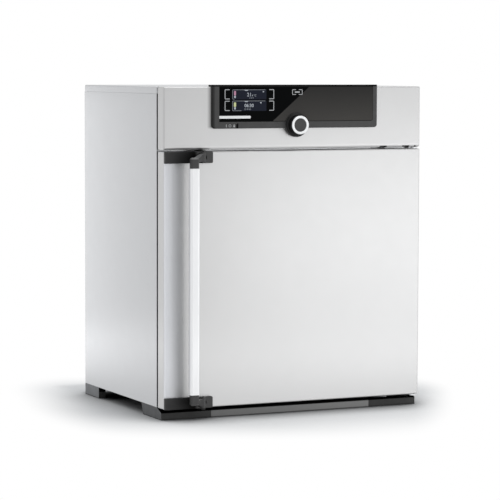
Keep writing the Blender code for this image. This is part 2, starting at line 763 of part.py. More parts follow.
def main_switch():
    """Rocker with a hollow front, stored with its lower half pressed in."""
    depth = COCKPIT_DEPTH / 2
    axis = Vector((SWITCH_X, FRONT - depth, SWITCH_Z))
    pivot("switch_axis", axis)
    half_h = SWITCH_HEIGHT / 2
    face = 0.0035
    hollow = 0.0008
    outline = [(depth / 2, -half_h * 0.7), (depth / 2, half_h * 0.7), (-face, half_h),
               (-face + hollow, 0), (-face, -half_h)]
    shape = prism("YZ", outline, -SWITCH_WIDTH / 2, SWITCH_WIDTH / 2)
    bmesh.ops.rotate(shape, verts=shape.verts, cent=(0, 0, 0), matrix=Matrix.Rotation(SWITCH_TILT, 3, "X"))
    bmesh.ops.translate(shape, verts=shape.verts, vec=axis)
    place("main_switch", shape, black_plastic(), "switch_axis")


def hinge_plate(name, level, way, length, finish):
    """Strap from the body's front to the hinge pin, which stands into the door's edge."""
    near = level + way * HINGE_PLATE_GAP
    far = near + way * HINGE_PLATE
    left = HINGE_X + HINGE_INSET / 2 - length
    right = HINGE_X + HINGE_INSET / 2
    wall = BODY_FRONT - GAP
    tip = HINGE_INSET * 0.8
    outline = [(left, wall), (left, wall - HINGE_FLANGE), (HINGE_X - tip, HINGE_Y)]
    for step in range(1, 8):
        angle = math.radians(180 + 180 * step / 8)
        outline.append((HINGE_X + tip * math.cos(angle), HINGE_Y + tip * math.sin(angle)))
    outline += [(HINGE_X + tip, HINGE_Y), (right, wall)]
    plate = place(name, prism("XY", outline, near, far), finish)
    pin = [(HINGE_PIN_RADIUS, near + way * HINGE_PLATE / 2),
           (HINGE_PIN_RADIUS, near - way * HINGE_PIN_LENGTH)]
    unite(plate, turned("XY", (HINGE_X, HINGE_Y), pin, 16))
    flange_low = min(near, far)
    overlap = HINGE_FLANGE / 4
    unite(plate, block((left + overlap, wall - HINGE_FLANGE, flange_low + overlap),
                       (right - overlap, wall - GAP, flange_low + HINGE_FLANGE_HEIGHT)))


def striker(name, level, way):
    """Latch striker: an angle on the body's front whose nose the latch plate closes against."""
    left = PIVOT_X + LATCH_HALF + STRIKER_SIDE_GAP
    right = left + STRIKER_WIDTH
    wall = BODY_FRONT - GAP
    near = level + way * HINGE_PLATE_GAP
    far = near + way * HINGE_PLATE
    nose = wall - STRIKER_REACH
    outline = [(left, wall), (left, nose + STRIKER_ROLLER), (left + STRIKER_ROLLER, nose),
               (right - STRIKER_ROLLER, nose), (right, nose + STRIKER_ROLLER), (right, wall)]
    piece = place(name, prism("XY", outline, near, far), bright_steel())
    low = min(near, far)
    overlap = HINGE_FLANGE / 4
    unite(piece, block((left + overlap, wall - HINGE_FLANGE, low + overlap),
                       (right - overlap, wall - GAP, low + HINGE_FLANGE_HEIGHT)))


def hardware():
    hinge_plate("hinge_plate_top", DOOR_TOP, 1, HINGE_TOP_LENGTH, bright_steel())
    hinge_plate("hinge_plate_bottom", DOOR_BOTTOM, -1, HINGE_BOTTOM_LENGTH, bright_steel())
    striker("striker_top", DOOR_TOP, 1)
    striker("striker_bottom", DOOR_BOTTOM, -1)


def front_foot(name, side):
    """Corner foot: a raked leg under the side panel and a low toe that runs along the front."""
    toe = FRONT + TOE_SETBACK
    top = FOOT_HEIGHT - GAP
    heel = toe + FRONT_FOOT_LENGTH
    lip = [(toe - FOOT_LIP_REACH, 0), (toe - FOOT_LIP_REACH, FOOT_LIP), (toe, FOOT_LIP), (toe, TOE_HEIGHT)]
    leg = lip + [(BODY_FRONT, top), (heel, top), (heel - FRONT_FOOT_RAKE, 0)]
    low_bar = lip + [(BODY_FRONT, TOE_HEIGHT), (BODY_FRONT, 0)]
    foot = place(name, prism("YZ", leg, side * SIDE, side * (SIDE - FOOT_LEG_WIDTH)), dark_plastic())
    unite(foot, prism("YZ", low_bar, side * (SIDE - FOOT_LEG_WIDTH / 2), side * (SIDE - FRONT_FOOT_WIDTH)))
    if side > 0:
        low = DOOR_BOTTOM - HINGE_PLATE_GAP - HINGE_PLATE - GAP
        left = HINGE_X + HINGE_INSET / 2 - HINGE_BOTTOM_LENGTH - GAP
        cut(foot, block((left, toe - FOOT_LIP, low), (HINGE_X + HINGE_INSET + GAP, BODY_FRONT + GAP,
                                                      FOOT_HEIGHT)))


def rear_foot(name, side):
    back = BODY_BACK
    front = back - REAR_FOOT_LENGTH
    top = FOOT_HEIGHT - GAP
    outline = [(front + FOOT_CHAMFER, 0), (back - FOOT_CHAMFER, 0), (back, FOOT_CHAMFER), (back, top),
               (front, top), (front, FOOT_CHAMFER)]
    place(name, prism("YZ", outline, side * SIDE, side * (SIDE - FOOT_LEG_WIDTH)), dark_plastic())


def feet():
    front_foot("foot_front_left", -1)
    front_foot("foot_front_right", 1)
    rear_foot("foot_rear_left", -1)
    rear_foot("foot_rear_right", 1)
    half = SIDE - FRONT_FOOT_WIDTH - GAP
    toe = FRONT + TOE_SETBACK
    rail = [(toe - FOOT_LIP_REACH, 0), (toe - FOOT_LIP_REACH, FOOT_LIP), (toe, FOOT_LIP),
            (toe, TOE_HEIGHT - GAP),
            (BODY_FRONT, TOE_HEIGHT - GAP), (BODY_FRONT, 0)]
    place("plinth_rail", prism("YZ", rail, -half, half), material("grey_rail", (0.20, 0.20, 0.20), 0.6))


def door():
    pivot("door_axis", (HINGE_X, HINGE_Y, DOOR_MIDDLE))
    low = (-SIDE, DOOR_BOTTOM)
    high = (SIDE, DOOR_TOP)
    shell = place("door_shell", tray("XZ", low, high, DOOR_BACK, FRONT, SHEET, SHEET_BEND, SHEET_BEND),
                  steel(), "door_axis")
    for level in (DOOR_BOTTOM, DOOR_TOP):
        radius = HINGE_PIN_RADIUS + GAP
        cut(shell, turned("XY", (HINGE_X, HINGE_Y), [(radius, level - 2 * SHEET),
                                                     (radius, level + 2 * SHEET)], 16))
    inner = SHEET + GAP
    plate = SHEET

    def sheet(inset, level, corner=0.002):
        near = (-SIDE + inset, DOOR_BOTTOM + inset)
        far = (SIDE - inset, DOOR_TOP - inset)
        return rounded(near, far, (corner,) * 4, 4), level

    frame_edge = SIDE - JAMB_HALF + PANEL_EMBOSS_MARGIN
    slope = frame_edge + PANEL_EMBOSS
    corner = PANEL_EMBOSS_CORNER
    rings = [
        sheet(slope, DOOR_BACK - PANEL_EMBOSS - plate, corner),
        sheet(frame_edge, DOOR_BACK - plate, corner),
        sheet(inner, DOOR_BACK - plate), sheet(inner, DOOR_BACK),
        sheet(frame_edge, DOOR_BACK, corner), sheet(slope, DOOR_BACK - PANEL_EMBOSS, corner),
    ]
    place("door_liner", loft("XZ", rings), bright_steel(), "door_axis")
    fill_back = DOOR_BACK - plate - PANEL_EMBOSS - plate - GAP
    pin_side = HINGE_X - HINGE_PIN_RADIUS - HINGE_INSET / 2
    fill = inner + GAP
    place("door_insulation", block((-SIDE + fill, FRONT + inner, DOOR_BOTTOM + fill),
                                   (pin_side, fill_back, DOOR_TOP - fill)),
          material("mineral_wool", (0.62, 0.55, 0.36), 0.95), "door_axis")
    gasket()


def gasket():
    """Door seal, which closes on the flat face of the body's front frame."""
    inside_half = JAMB_HALF + GASKET_MARGIN
    inside_high = CHAMBER_TOP + GLASS_MARGIN + GLASS_CLEARANCE + GASKET_MARGIN
    inside_low = CHAMBER_BOTTOM - GLASS_MARGIN - GLASS_CLEARANCE - GASKET_MARGIN

    def ring(grow, level):
        low = (-inside_half - grow, inside_low - grow)
        return rounded(low, (inside_half + grow, inside_high + grow), (0.004 + grow,) * 4, 2), level

    back = DOOR_BACK + GAP
    face = BODY_FRONT - GAP
    lip = GASKET_WIDTH * 0.25
    rings = [ring(0, back), ring(GASKET_WIDTH, back), ring(GASKET_WIDTH - lip, face), ring(lip, face)]
    place("door_gasket", loft("XZ", rings, closed=True), rubber(), "door_axis")


def mirrored(side, z):
    """A height measured in the upper half of the door, or its mirror image in the lower half."""
    return DOOR_MIDDLE + side * (z - DOOR_MIDDLE)


def span(side, low, high):
    ends = (mirrored(side, low), mirrored(side, high))
    return min(ends), max(ends)


def handle_bracket(name, side):
    """Moulded bracket with the forked seat that holds the handle's hub."""
    low, high = span(side, DOOR_TOP - BRACKET_HEIGHT, DOOR_TOP)
    right = -SIDE + BRACKET_LENGTH
    back = FRONT - GAP
    face = FRONT - BRACKET_DEPTH

    def ring(inset, level):
        corners = (0.0012, BRACKET_CORNER, BRACKET_CORNER, 0.0012)
        return rounded((-SIDE + inset, low + inset), (right - inset, high - inset), corners, 2), level

    soft = 0.001
    bracket = place(name, loft("XZ", [ring(0, back), ring(0, face + soft), ring(soft, face)]),
                    dark_plastic(), "door_axis")
    seat_low, seat_high = span(side, DOOR_TOP - BRACKET_HEIGHT + BRACKET_LUG, DOOR_TOP - BRACKET_LUG)
    reach = HUB_RADIUS + HUB_CLEARANCE
    seat = turned("XY", (PIVOT_X, PIVOT_Y), [(reach, seat_low), (reach, seat_high)], 28)
    cut(bracket, seat)
    cut(bracket, block((PIVOT_X - POCKET_LEFT, face - soft, seat_low),
                       (PIVOT_X, back - 2 * soft, seat_high)))
    unite(bracket, lug(seat_low - BRACKET_LUG, seat_low))
    unite(bracket, lug(seat_high, seat_high + BRACKET_LUG))
    hole = PIVOT_RADIUS + GAP
    cut(bracket, turned("XY", (PIVOT_X, PIVOT_Y), [(hole, low - soft), (hole, high + soft)], 16))
    middle = (low + high) / 2
    cut(bracket, block((PIVOT_X + HUB_RADIUS - soft, face - soft, middle - NOTCH_HEIGHT / 2),
                       (PIVOT_X + HUB_RADIUS + NOTCH_WIDTH, back - 2 * soft, middle + NOTCH_HEIGHT / 2)))


def lug(low, high):
    """One ear of the forked seat, round in front and rooted in the bracket."""
    outline = []
    for step in range(9):
        angle = math.radians(180 + 180 * step / 8)
        outline.append((PIVOT_X + HUB_RADIUS * math.cos(angle), PIVOT_Y + HUB_RADIUS * math.sin(angle)))
    root = FRONT - 4 * GAP
    outline += [(PIVOT_X + HUB_RADIUS, root), (PIVOT_X - HUB_RADIUS, root)]
    return prism("XY", outline, low + GAP / 4, high - GAP / 4)


def handle_arm(name, side):
    """Cranked arm: a round hub in the bracket, a tapering neck and the cap that takes the bar."""
    hub_low, hub_high = span(side, DOOR_TOP - BRACKET_HEIGHT + BRACKET_LUG + GAP,
                             DOOR_TOP - BRACKET_LUG - GAP)
    cap_low, cap_high = span(side, DOOR_TOP - CAP_DROP - CAP_HEIGHT, DOOR_TOP - CAP_DROP)
    arm = place(name, turned("XY", (PIVOT_X, PIVOT_Y), [(HUB_RADIUS, hub_low), (HUB_RADIUS, hub_high)],
                             28),
                dark_plastic(), "handle_axis")
    start = Vector((PIVOT_X, PIVOT_Y))
    end = Vector((BAR_X, BAR_Y))
    along = (end - start).normalized()
    across = Vector((-along.y, along.x))
    steps = 6
    neck = bmesh.new()
    sections = []
    hub_inset = 0.0006
    low_drop = 0 if side > 0 else cap_low + CAP_BEVEL / 2 - hub_low
    high_drop = cap_high - CAP_BEVEL / 2 - hub_high if side > 0 else 0
    for step in range(steps + 1):
        share = step / steps
        ease = share * share * (3 - 2 * share)
        half = ARM_HUB_HALF + (ARM_CAP_HALF - ARM_HUB_HALF) * ease
        low = hub_low + hub_inset + low_drop * ease
        high = hub_high - hub_inset + high_drop * ease
        middle = start.lerp(end, share)
        left = middle + across * half
        right = middle - across * half
        sections.append([Vector((left.x, left.y, low)), Vector((right.x, right.y, low)),
                         Vector((right.x, right.y, high)), Vector((left.x, left.y, high))])
    loops = [[neck.verts.new(point) for point in section] for section in sections]
    for first, second in zip(loops, loops[1:]):
        for k in range(4):
            neck.faces.new((first[k], first[(k + 1) % 4], second[(k + 1) % 4], second[k]))
    neck.faces.new(loops[0])
    neck.faces.new(loops[-1])
    unite(arm, neck)
    outer_end = cap_high if side > 0 else cap_low
    inner_end = cap_low if side > 0 else cap_high
    rings = [bar_ring(CAP_INSET, inner_end), bar_ring(CAP_INSET, outer_end - side * CAP_BEVEL),
             bar_ring(CAP_TOP_INSET, outer_end)]
    unite(arm, loft("XY", rings))
    hole = PIVOT_RADIUS + GAP
    cut(arm, turned("XY", (PIVOT_X, PIVOT_Y), [(hole, hub_low - BRACKET_LUG),
                                               (hole, hub_high + BRACKET_LUG)], 16))


def bar_ring(inset, level):
    low = (BAR_X - BAR_WIDTH / 2 + inset, BAR_Y - BAR_DEPTH / 2 + inset)
    high = (BAR_X + BAR_WIDTH / 2 - inset, BAR_Y + BAR_DEPTH / 2 - inset)
    return rounded(low, high, (BAR_CORNER - inset / 2,) * 4, 4), level


def latch_hook(name, side):
    """Handle shaft with the latch plate that reaches back over the door's edge."""
    start, end = DOOR_TOP + LATCH_LIFT, DOOR_TOP + LATCH_LIFT + LATCH_PLATE
    tip = BODY_FRONT - LATCH_TIP_GAP - LATCH_HALF
    outline = []
    for centre_y, turn in ((PIVOT_Y, 180), (tip, 0)):
        for step in range(7):
            angle = math.radians(turn + 180 * step / 6)
            outline.append((PIVOT_X + LATCH_HALF * math.cos(angle),
                            centre_y + LATCH_HALF * math.sin(angle)))
    hook = place(name, prism("XY", outline, mirrored(side, start), mirrored(side, end)), dark_steel(),
                 "handle_axis")
    shaft_end = DOOR_TOP - BRACKET_HEIGHT + GAP
    shaft = [(PIVOT_RADIUS, mirrored(side, start + LATCH_PLATE / 2)),
             (PIVOT_RADIUS, mirrored(side, shaft_end))]
    unite(hook, turned("XY", (PIVOT_X, PIVOT_Y), shaft, 16))


def handle():
    handle_bracket("handle_bracket_top", 1)
    handle_bracket("handle_bracket_bottom", -1)
    pivot("handle_axis", (PIVOT_X, PIVOT_Y, DOOR_MIDDLE), "door_axis")
    handle_arm("handle_arm_top", 1)
    handle_arm("handle_arm_bottom", -1)
    half = DOOR_HEIGHT / 2 - CAP_DROP - CAP_HEIGHT - GAP
    place("handle_bar", loft("XY", [bar_ring(0, DOOR_MIDDLE - half), bar_ring(0, DOOR_MIDDLE + half)]),
          aluminium(), "handle_axis")
    latch_hook("latch_hook_top", 1)
    latch_hook("latch_hook_bottom", -1)


def glass_door():
    """Inner glass door: pane, hinge rail with its two pins, and the catch knob."""
    bottom = CHAMBER_BOTTOM - GLASS_MARGIN
    top = CHAMBER_TOP + GLASS_MARGIN
    back = GLASS_FRONT + GLASS
    pivot("glass_axis", (GLASS_AXIS_X, GLASS_AXIS_Y, DOOR_MIDDLE))
    place("glass_pane", block((-GLASS_HALF, GLASS_FRONT, bottom), (GLASS_HALF, back, top)),
          material("clear_glass", (0.75, 0.85, 0.83), 0.05, 0.0, 0.35), "glass_axis")
    left = GLASS_HALF + GLASS_RAIL_WALL + GAP - GLASS_RAIL_WIDTH
    right = GLASS_HALF + GLASS_RAIL_WALL + GAP
    outer_front = GLASS_FRONT - GAP - GLASS_RAIL_WALL
    outer_back = back + GAP + GLASS_RAIL_WALL
    channel = [
        (left, outer_front), (right, outer_front), (right, outer_back), (left, outer_back),
        (left, back + GAP), (GLASS_HALF + GAP, back + GAP), (GLASS_HALF + GAP, GLASS_FRONT - GAP),
        (left, GLASS_FRONT - GAP),
    ]
    cap = 2 * GLASS_RAIL_WALL
    inset = GAP / 2
    rail = place("glass_hinge_rail", prism("XY", channel, bottom - GLASS_RAIL_WALL, top + GLASS_RAIL_WALL),
                 bright_steel(), "glass_axis")
    for edge, way in ((bottom, -1), (top, 1)):
        low, high = sorted((edge + way * GAP, edge + way * cap))
        near = edge + way * GLASS_RAIL_WALL
        end = edge + way * (GLASS_CLEARANCE + SHEET)
        unite(rail, block((left + inset, outer_front + inset, low),
                          (right - inset, outer_back - inset, high)))
        unite(rail, turned("XY", (GLASS_AXIS_X, GLASS_AXIS_Y),
                           [(GLASS_PIN_RADIUS, near), (GLASS_PIN_RADIUS, end)], 12))
    knob_x = -GLASS_HALF + CATCH_INSET
    seat = GLASS_FRONT - GAP
    profile = [(CATCH_RADIUS * 0.6, seat), (CATCH_RADIUS * 0.5, seat - CATCH_DEPTH * 0.4),
               (CATCH_RADIUS, seat - CATCH_DEPTH * 0.6),
               (CATCH_RADIUS * 0.9, seat - CATCH_DEPTH)]
    place("glass_catch", turned("XZ", (knob_x, DOOR_MIDDLE), profile, 20), dark_plastic(), "glass_axis")
    glass_seal(back)


def glass_seal(back):
    """Seal strip between the pane and the flange behind it."""
    start = CHAMBER_HALF + GASKET_MARGIN / 2
    low = CHAMBER_BOTTOM - GASKET_MARGIN / 2
    high = CHAMBER_TOP + GASKET_MARGIN / 2

    def ring(grow, level):
        return rectangle((-start - grow, low - grow), (start + grow, high + grow)), level

    near = back + GAP
    far = FLANGE_FRONT - GAP
    rings = [ring(0, near), ring(GLASS_SEAL_WIDTH, near), ring(GLASS_SEAL_WIDTH, far), ring(0, far)]
    place("glass_seal", loft("XZ", rings, closed=True), rubber())


def shelf(name, level):
    """Wire shelf: a bent rod frame with wires across it."""
    half = CHAMBER_HALF - SHELF_SIDE_GAP
    front = LINER_FRONT + SHELF_SETBACK
    back = front + SHELF_DEPTH
    axis_z = level + SHELF_ROD + GAP
    pivot(name + "_runner", (0, front, axis_z))
    rings = []
    sides = 6
    for k in range(sides):
        angle = 2 * math.pi * k / sides + math.pi / sides
        inset = SHELF_ROD + SHELF_ROD * math.cos(angle)
        outline = rounded((-half + inset, front + inset), (half - inset, back - inset),
                          (SHELF_CORNER - inset,) * 4, 2)
        rings.append((outline, axis_z + SHELF_ROD * math.sin(angle)))
    piece = place(name, loft("XY", rings, closed=True), bright_steel(), name + "_runner", smooth=61.0)
    wires = bmesh.new()
    pitch = 2 * (half - SHELF_CORNER) / (SHELF_WIRES - 1)
    for k in range(SHELF_WIRES):
        x = -half + SHELF_CORNER + pitch * k
        inset = SHELF_ROD if 0 < k < SHELF_WIRES - 1 else SHELF_ROD * 1.2
        turned("XZ", (x, axis_z), [(SHELF_WIRE, front + inset), (SHELF_WIRE, back - inset)], 6, wires)
    unite(piece, wires)


def shelves():
    levels = rib_levels()
    shelf("shelf_lower", levels[1] + RIB_HEIGHT)
    shelf("shelf_upper", levels[3] + RIB_HEIGHT)


def finned_sink(name, width, height, middle, wall, way, depth):
    """Heat sink with upright fins: a comb outline drawn along Z."""
    fins = int((width - FIN_THICKNESS) / FIN_PITCH) + 1
    first = -(fins - 1) * FIN_PITCH / 2
    half = first - FIN_THICKNESS / 2
    root = wall + way * SINK_BASE
    tip = wall + way * depth
    outline = [(half, wall)]
    for k in range(fins):
        x = first + FIN_PITCH * k
        near, far = x - FIN_THICKNESS / 2, x + FIN_THICKNESS / 2
        outline += [(near, tip), (far, tip)]
        if k < fins - 1:
            outline += [(far, root), (near + FIN_PITCH, root)]
    outline.append((-half, wall))
    place(name, prism("XY", outline, middle - height / 2, middle + height / 2), aluminium())


def impeller(name, centre, hub, tip, front, depth, blades, root_pitch, tip_pitch, axis):
    """Fan wheel: a hub with twisted blades drawn from root to tip."""
    middle = front + depth / 2
    wheel = place(name, turned("XZ", centre, [(hub * 0.92, front), (hub, front + depth * 0.15),
                                              (hub, front + depth)], 24),
                  black_plastic(), axis)
    thick = 0.0007
    steps = 3
    vanes = bmesh.new()
    for blade in range(blades):
        base = 2 * math.pi * blade / blades
        loops = []
        for step in range(steps + 1):
            share = step / steps
            radius = hub * 0.8 + (tip - hub * 0.8) * share
            pitch = math.radians(root_pitch + (tip_pitch - root_pitch) * share)
            rise = depth * 0.42
            chord = rise / max(math.sin(pitch), 0.3)
            sweep = min(chord * math.cos(pitch) / radius, math.pi / blades * 0.85)
            loop = []
            for lead, skin in ((-1, -1), (1, -1), (1, 1), (-1, 1)):
                angle = base + lead * sweep + skin * thick * math.sin(pitch) / radius
                y = middle + lead * rise - skin * thick * math.cos(pitch)
                x = centre[0] + radius * math.cos(angle)
                z = centre[1] + radius * math.sin(angle)
                loop.append(vanes.verts.new((x, y, z)))
            loops.append(loop)
        for first, second in zip(loops, loops[1:]):
            for k in range(4):
                vanes.faces.new((first[k], first[(k + 1) % 4], second[(k + 1) % 4], second[k]))
        vanes.faces.new(loops[0])
        vanes.faces.new(loops[-1])
    unite(wheel, vanes)
    return wheel


def fan_frame(name, x, middle):
    """Square fan frame with a round duct, four struts and the motor boss."""
    back = BODY_BACK + GAP
    end = back + FAN_DEPTH
    half = FAN_SIZE / 2
    outline = rounded((x - half, middle - half), (x + half, middle + half), (0.006,) * 4, 2)
    frame = place(name, prism("XZ", outline, back, end), dark_plastic())
    cut(frame, turned("XZ", (x, middle), [(FAN_BORE, back - SHEET), (FAN_BORE, end + SHEET)], 28))
    strut = 0.002
    boss_depth = 0.0035
    star = turned("XZ", (x, middle), [(FAN_HUB, back + GAP), (FAN_HUB, back + boss_depth)], 24)
    unite(frame, star)
    for angle in (0, 90):
        bar = block((-FAN_BORE - strut, back + GAP / 2, -strut),
                    (FAN_BORE + strut, back + boss_depth - GAP, strut))
        bmesh.ops.rotate(bar, verts=bar.verts, cent=(0, 0, 0),
                         matrix=Matrix.Rotation(math.radians(angle + 45), 3, "Y"))
        bmesh.ops.translate(bar, verts=bar.verts, vec=(x, 0, middle))
        unite(frame, bar)


def arc_slot(centre, radius, start, end, near, far, shape):
    """One curved slot of the stamped grille."""
    steps = 5
    outer = radius + GRILLE_SLOT / 2
    inner = radius - GRILLE_SLOT / 2
    outline = []
    for step in range(steps + 1):
        angle = start + (end - start) * step / steps
        outline.append((centre[0] + outer * math.cos(angle), centre[1] + outer * math.sin(angle)))
    for step in range(steps, -1, -1):
        angle = start + (end - start) * step / steps
        outline.append((centre[0] + inner * math.cos(angle), centre[1] + inner * math.sin(angle)))
    prism("XZ", outline, near, far, shape)


def rear_unit():
    """Rear panel, fan housing with stamped grilles, fans and the hot side of the cooler."""
    middle = cooler_middle()
    panel = place("rear_panel", block((-SHELL_INSIDE, BODY_BACK - SHEET, FOOT_HEIGHT),
                                      (SHELL_INSIDE, BODY_BACK, SHELL_TOP)), steel())
    centres = [-FAN_SPACING / 2, FAN_SPACING / 2]
    openings = bmesh.new()
    slots = bmesh.new()
    far = FRONT + OVERALL_DEPTH
    for x in centres:
        turned("XZ", (x, middle), [(FAN_BORE, BODY_BACK - 2 * SHEET), (FAN_BORE, BODY_BACK + SHEET)],
               28, openings)
        for ring in range(GRILLE_RINGS):
            radius = FAN_HUB + GRILLE_PITCH * (ring + 0.5)
            web = 0.004 / radius
            for spoke in range(GRILLE_SPOKES):
                start = 2 * math.pi * (spoke + 0.5) / GRILLE_SPOKES + web
                arc_slot((x, middle), radius, start, start + 2 * math.pi / GRILLE_SPOKES - 2 * web,
                         far - 2 * SHEET, far + SHEET, slots)
    cut(panel, openings)
    inlet_w = INLET_WIDTH / 2 + GAP
    inlet_h = INLET_HEIGHT / 2 + GAP
    cut(panel, block((INLET_X - inlet_w, BODY_BACK - 2 * SHEET, INLET_Z - inlet_h),
                     (INLET_X + inlet_w, BODY_BACK + SHEET, INLET_Z + inlet_h)))
    half_w = FAN_SPACING / 2 + FAN_SIZE / 2 + HOUSING_MARGIN
    half_h = FAN_SIZE / 2 + HOUSING_MARGIN
    housing = place("rear_housing", tray("XZ", (-half_w, middle - half_h), (half_w, middle + half_h),
                                         BODY_BACK + GAP, far,
                                         SHEET, SHEET_BEND, SHEET_BEND), steel())
    cut(housing, slots)
    for side, x in zip(("left", "right"), centres):
        fan_frame("fan_frame_" + side, x, middle)
        axis = "fan_axis_" + side
        wheel_front = BODY_BACK + GAP + 0.0035 + GAP
        pivot(axis, (x, wheel_front, middle))
        impeller("fan_impeller_" + side, (x, middle), FAN_HUB, FAN_BORE - FAN_CLEARANCE, wheel_front,
                 FAN_DEPTH - 0.0035 - 2 * GAP, FAN_BLADES, 50, 28, axis)


def cooler():
    """Thermoelectric cooler: cold sink in the plenum, module through the wool, hot sink behind."""
    middle = cooler_middle()
    module_front = LINER_BACK + SHEET + GAP
    module_back = insulation_back()
    half_w, half_h = PELTIER_WIDTH / 2, PELTIER_HEIGHT / 2
    place("peltier_module", block((-half_w, module_front, middle - half_h),
                                  (half_w, module_back, middle + half_h)),
          material("module_ceramic", (0.80, 0.80, 0.78), 0.5))
    finned_sink("cold_sink", COLD_SINK_WIDTH, COLD_SINK_HEIGHT, middle, LINER_BACK - GAP, -1,
                COLD_SINK_DEPTH)
    finned_sink("hot_sink", SINK_WIDTH, SINK_HEIGHT, middle, module_back + GAP, 1, HOT_SINK_DEPTH)
    fan_z = middle - INNER_FAN_DROP
    wall = LINER_BACK - GAP
    wheel_back = wall - MOTOR_DEPTH - GAP
    motor = [(MOTOR_RADIUS, wall), (MOTOR_RADIUS, wall - MOTOR_DEPTH * 0.8),
             (MOTOR_RADIUS * 0.8, wall - MOTOR_DEPTH)]
    place("chamber_fan_motor", turned("XZ", (0, fan_z), motor, 20), dark_plastic())
    pivot("chamber_fan_axis", (0, wheel_back, fan_z))
    impeller("chamber_fan", (0, fan_z), MOTOR_RADIUS, INNER_FAN_RADIUS, wheel_back - INNER_FAN_DEPTH,
             INNER_FAN_DEPTH,
             8, 78, 70, "chamber_fan_axis")
    probe_z = CHAMBER_TOP - SENSOR_BELOW_TOP
    seat = BAFFLE_FRONT - GAP
    base = SENSOR_RADIUS * 2
    probe = [(base, seat), (base, seat - SENSOR_RADIUS), (SENSOR_RADIUS, seat - SENSOR_RADIUS),
             (SENSOR_RADIUS, seat - SENSOR_LENGTH + SENSOR_RADIUS),
             (SENSOR_RADIUS / 2, seat - SENSOR_LENGTH)]
    place("temperature_sensor", turned("XZ", (SENSOR_X, probe_z), probe, 14), bright_steel())


def mains_inlet():
    """Three-pin appliance inlet: flange, open shroud and flat pins."""
    half_w, half_h = INLET_WIDTH / 2, INLET_HEIGHT / 2
    face = BODY_BACK + GAP + SHEET
    floor = face - INLET_DEPTH
    body = place("mains_inlet", block((INLET_X - half_w, floor - INLET_WALL, INLET_Z - half_h),
                                      (INLET_X + half_w, face - SHEET / 2, INLET_Z + half_h)),
                                      black_plastic())
    reach_w, reach_h = half_w + INLET_FLANGE, half_h + INLET_FLANGE
    outline = rounded((INLET_X - reach_w, INLET_Z - reach_h), (INLET_X + reach_w, INLET_Z + reach_h),
                      (0.003,) * 4, 2)
    unite(body, prism("XZ", outline, face - SHEET, face + SHEET))
    cavity_w, cavity_h = half_w - INLET_WALL, half_h - INLET_WALL
    cut(body, block((INLET_X - cavity_w, floor, INLET_Z - cavity_h),
                    (INLET_X + cavity_w, face + 2 * SHEET, INLET_Z + cavity_h)))
    pin_pitch = 0.007
    pin_half = 0.001
    pin_tall = 0.002
    pin_z = INLET_Z + cavity_h - 2 * pin_tall
    pins = bmesh.new()
    for k in (-1, 0, 1):
        x = INLET_X + pin_pitch * k
        block((x - pin_half, floor - INLET_WALL / 2, pin_z - pin_tall),
              (x + pin_half, face - INLET_WALL, pin_z + pin_tall), pins)
    unite(body, pins)


body_shell()
front_frame()
chamber()
header()
cockpit()
dial()
main_switch()
hardware()
feet()
door()
handle()
glass_door()
shelves()
rear_unit()
cooler()
mains_inlet()
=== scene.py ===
import math

import bmesh
import bpy
from mathutils import Matrix, Vector


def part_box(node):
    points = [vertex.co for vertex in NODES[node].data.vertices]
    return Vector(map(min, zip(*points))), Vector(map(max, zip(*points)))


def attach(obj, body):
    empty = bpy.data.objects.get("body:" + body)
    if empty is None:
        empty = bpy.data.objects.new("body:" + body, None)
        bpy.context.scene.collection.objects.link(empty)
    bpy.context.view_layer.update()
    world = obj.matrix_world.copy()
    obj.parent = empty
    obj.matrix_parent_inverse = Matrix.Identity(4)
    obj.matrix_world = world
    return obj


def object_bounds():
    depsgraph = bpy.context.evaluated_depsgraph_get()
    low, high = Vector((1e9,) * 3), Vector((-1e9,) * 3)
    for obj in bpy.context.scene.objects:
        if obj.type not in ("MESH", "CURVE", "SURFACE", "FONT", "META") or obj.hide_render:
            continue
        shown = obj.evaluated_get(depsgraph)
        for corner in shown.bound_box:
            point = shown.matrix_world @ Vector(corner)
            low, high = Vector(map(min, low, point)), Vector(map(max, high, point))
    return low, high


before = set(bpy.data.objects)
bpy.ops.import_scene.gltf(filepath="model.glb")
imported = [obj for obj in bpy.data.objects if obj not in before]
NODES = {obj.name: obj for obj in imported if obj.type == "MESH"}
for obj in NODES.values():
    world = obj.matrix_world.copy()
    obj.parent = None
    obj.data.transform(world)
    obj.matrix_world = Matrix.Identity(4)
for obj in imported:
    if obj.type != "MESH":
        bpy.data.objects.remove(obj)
CAD_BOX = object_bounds()
MM = 0.001
WHITE = (1.0, 1.0, 1.0, 1.0)


# Node trees

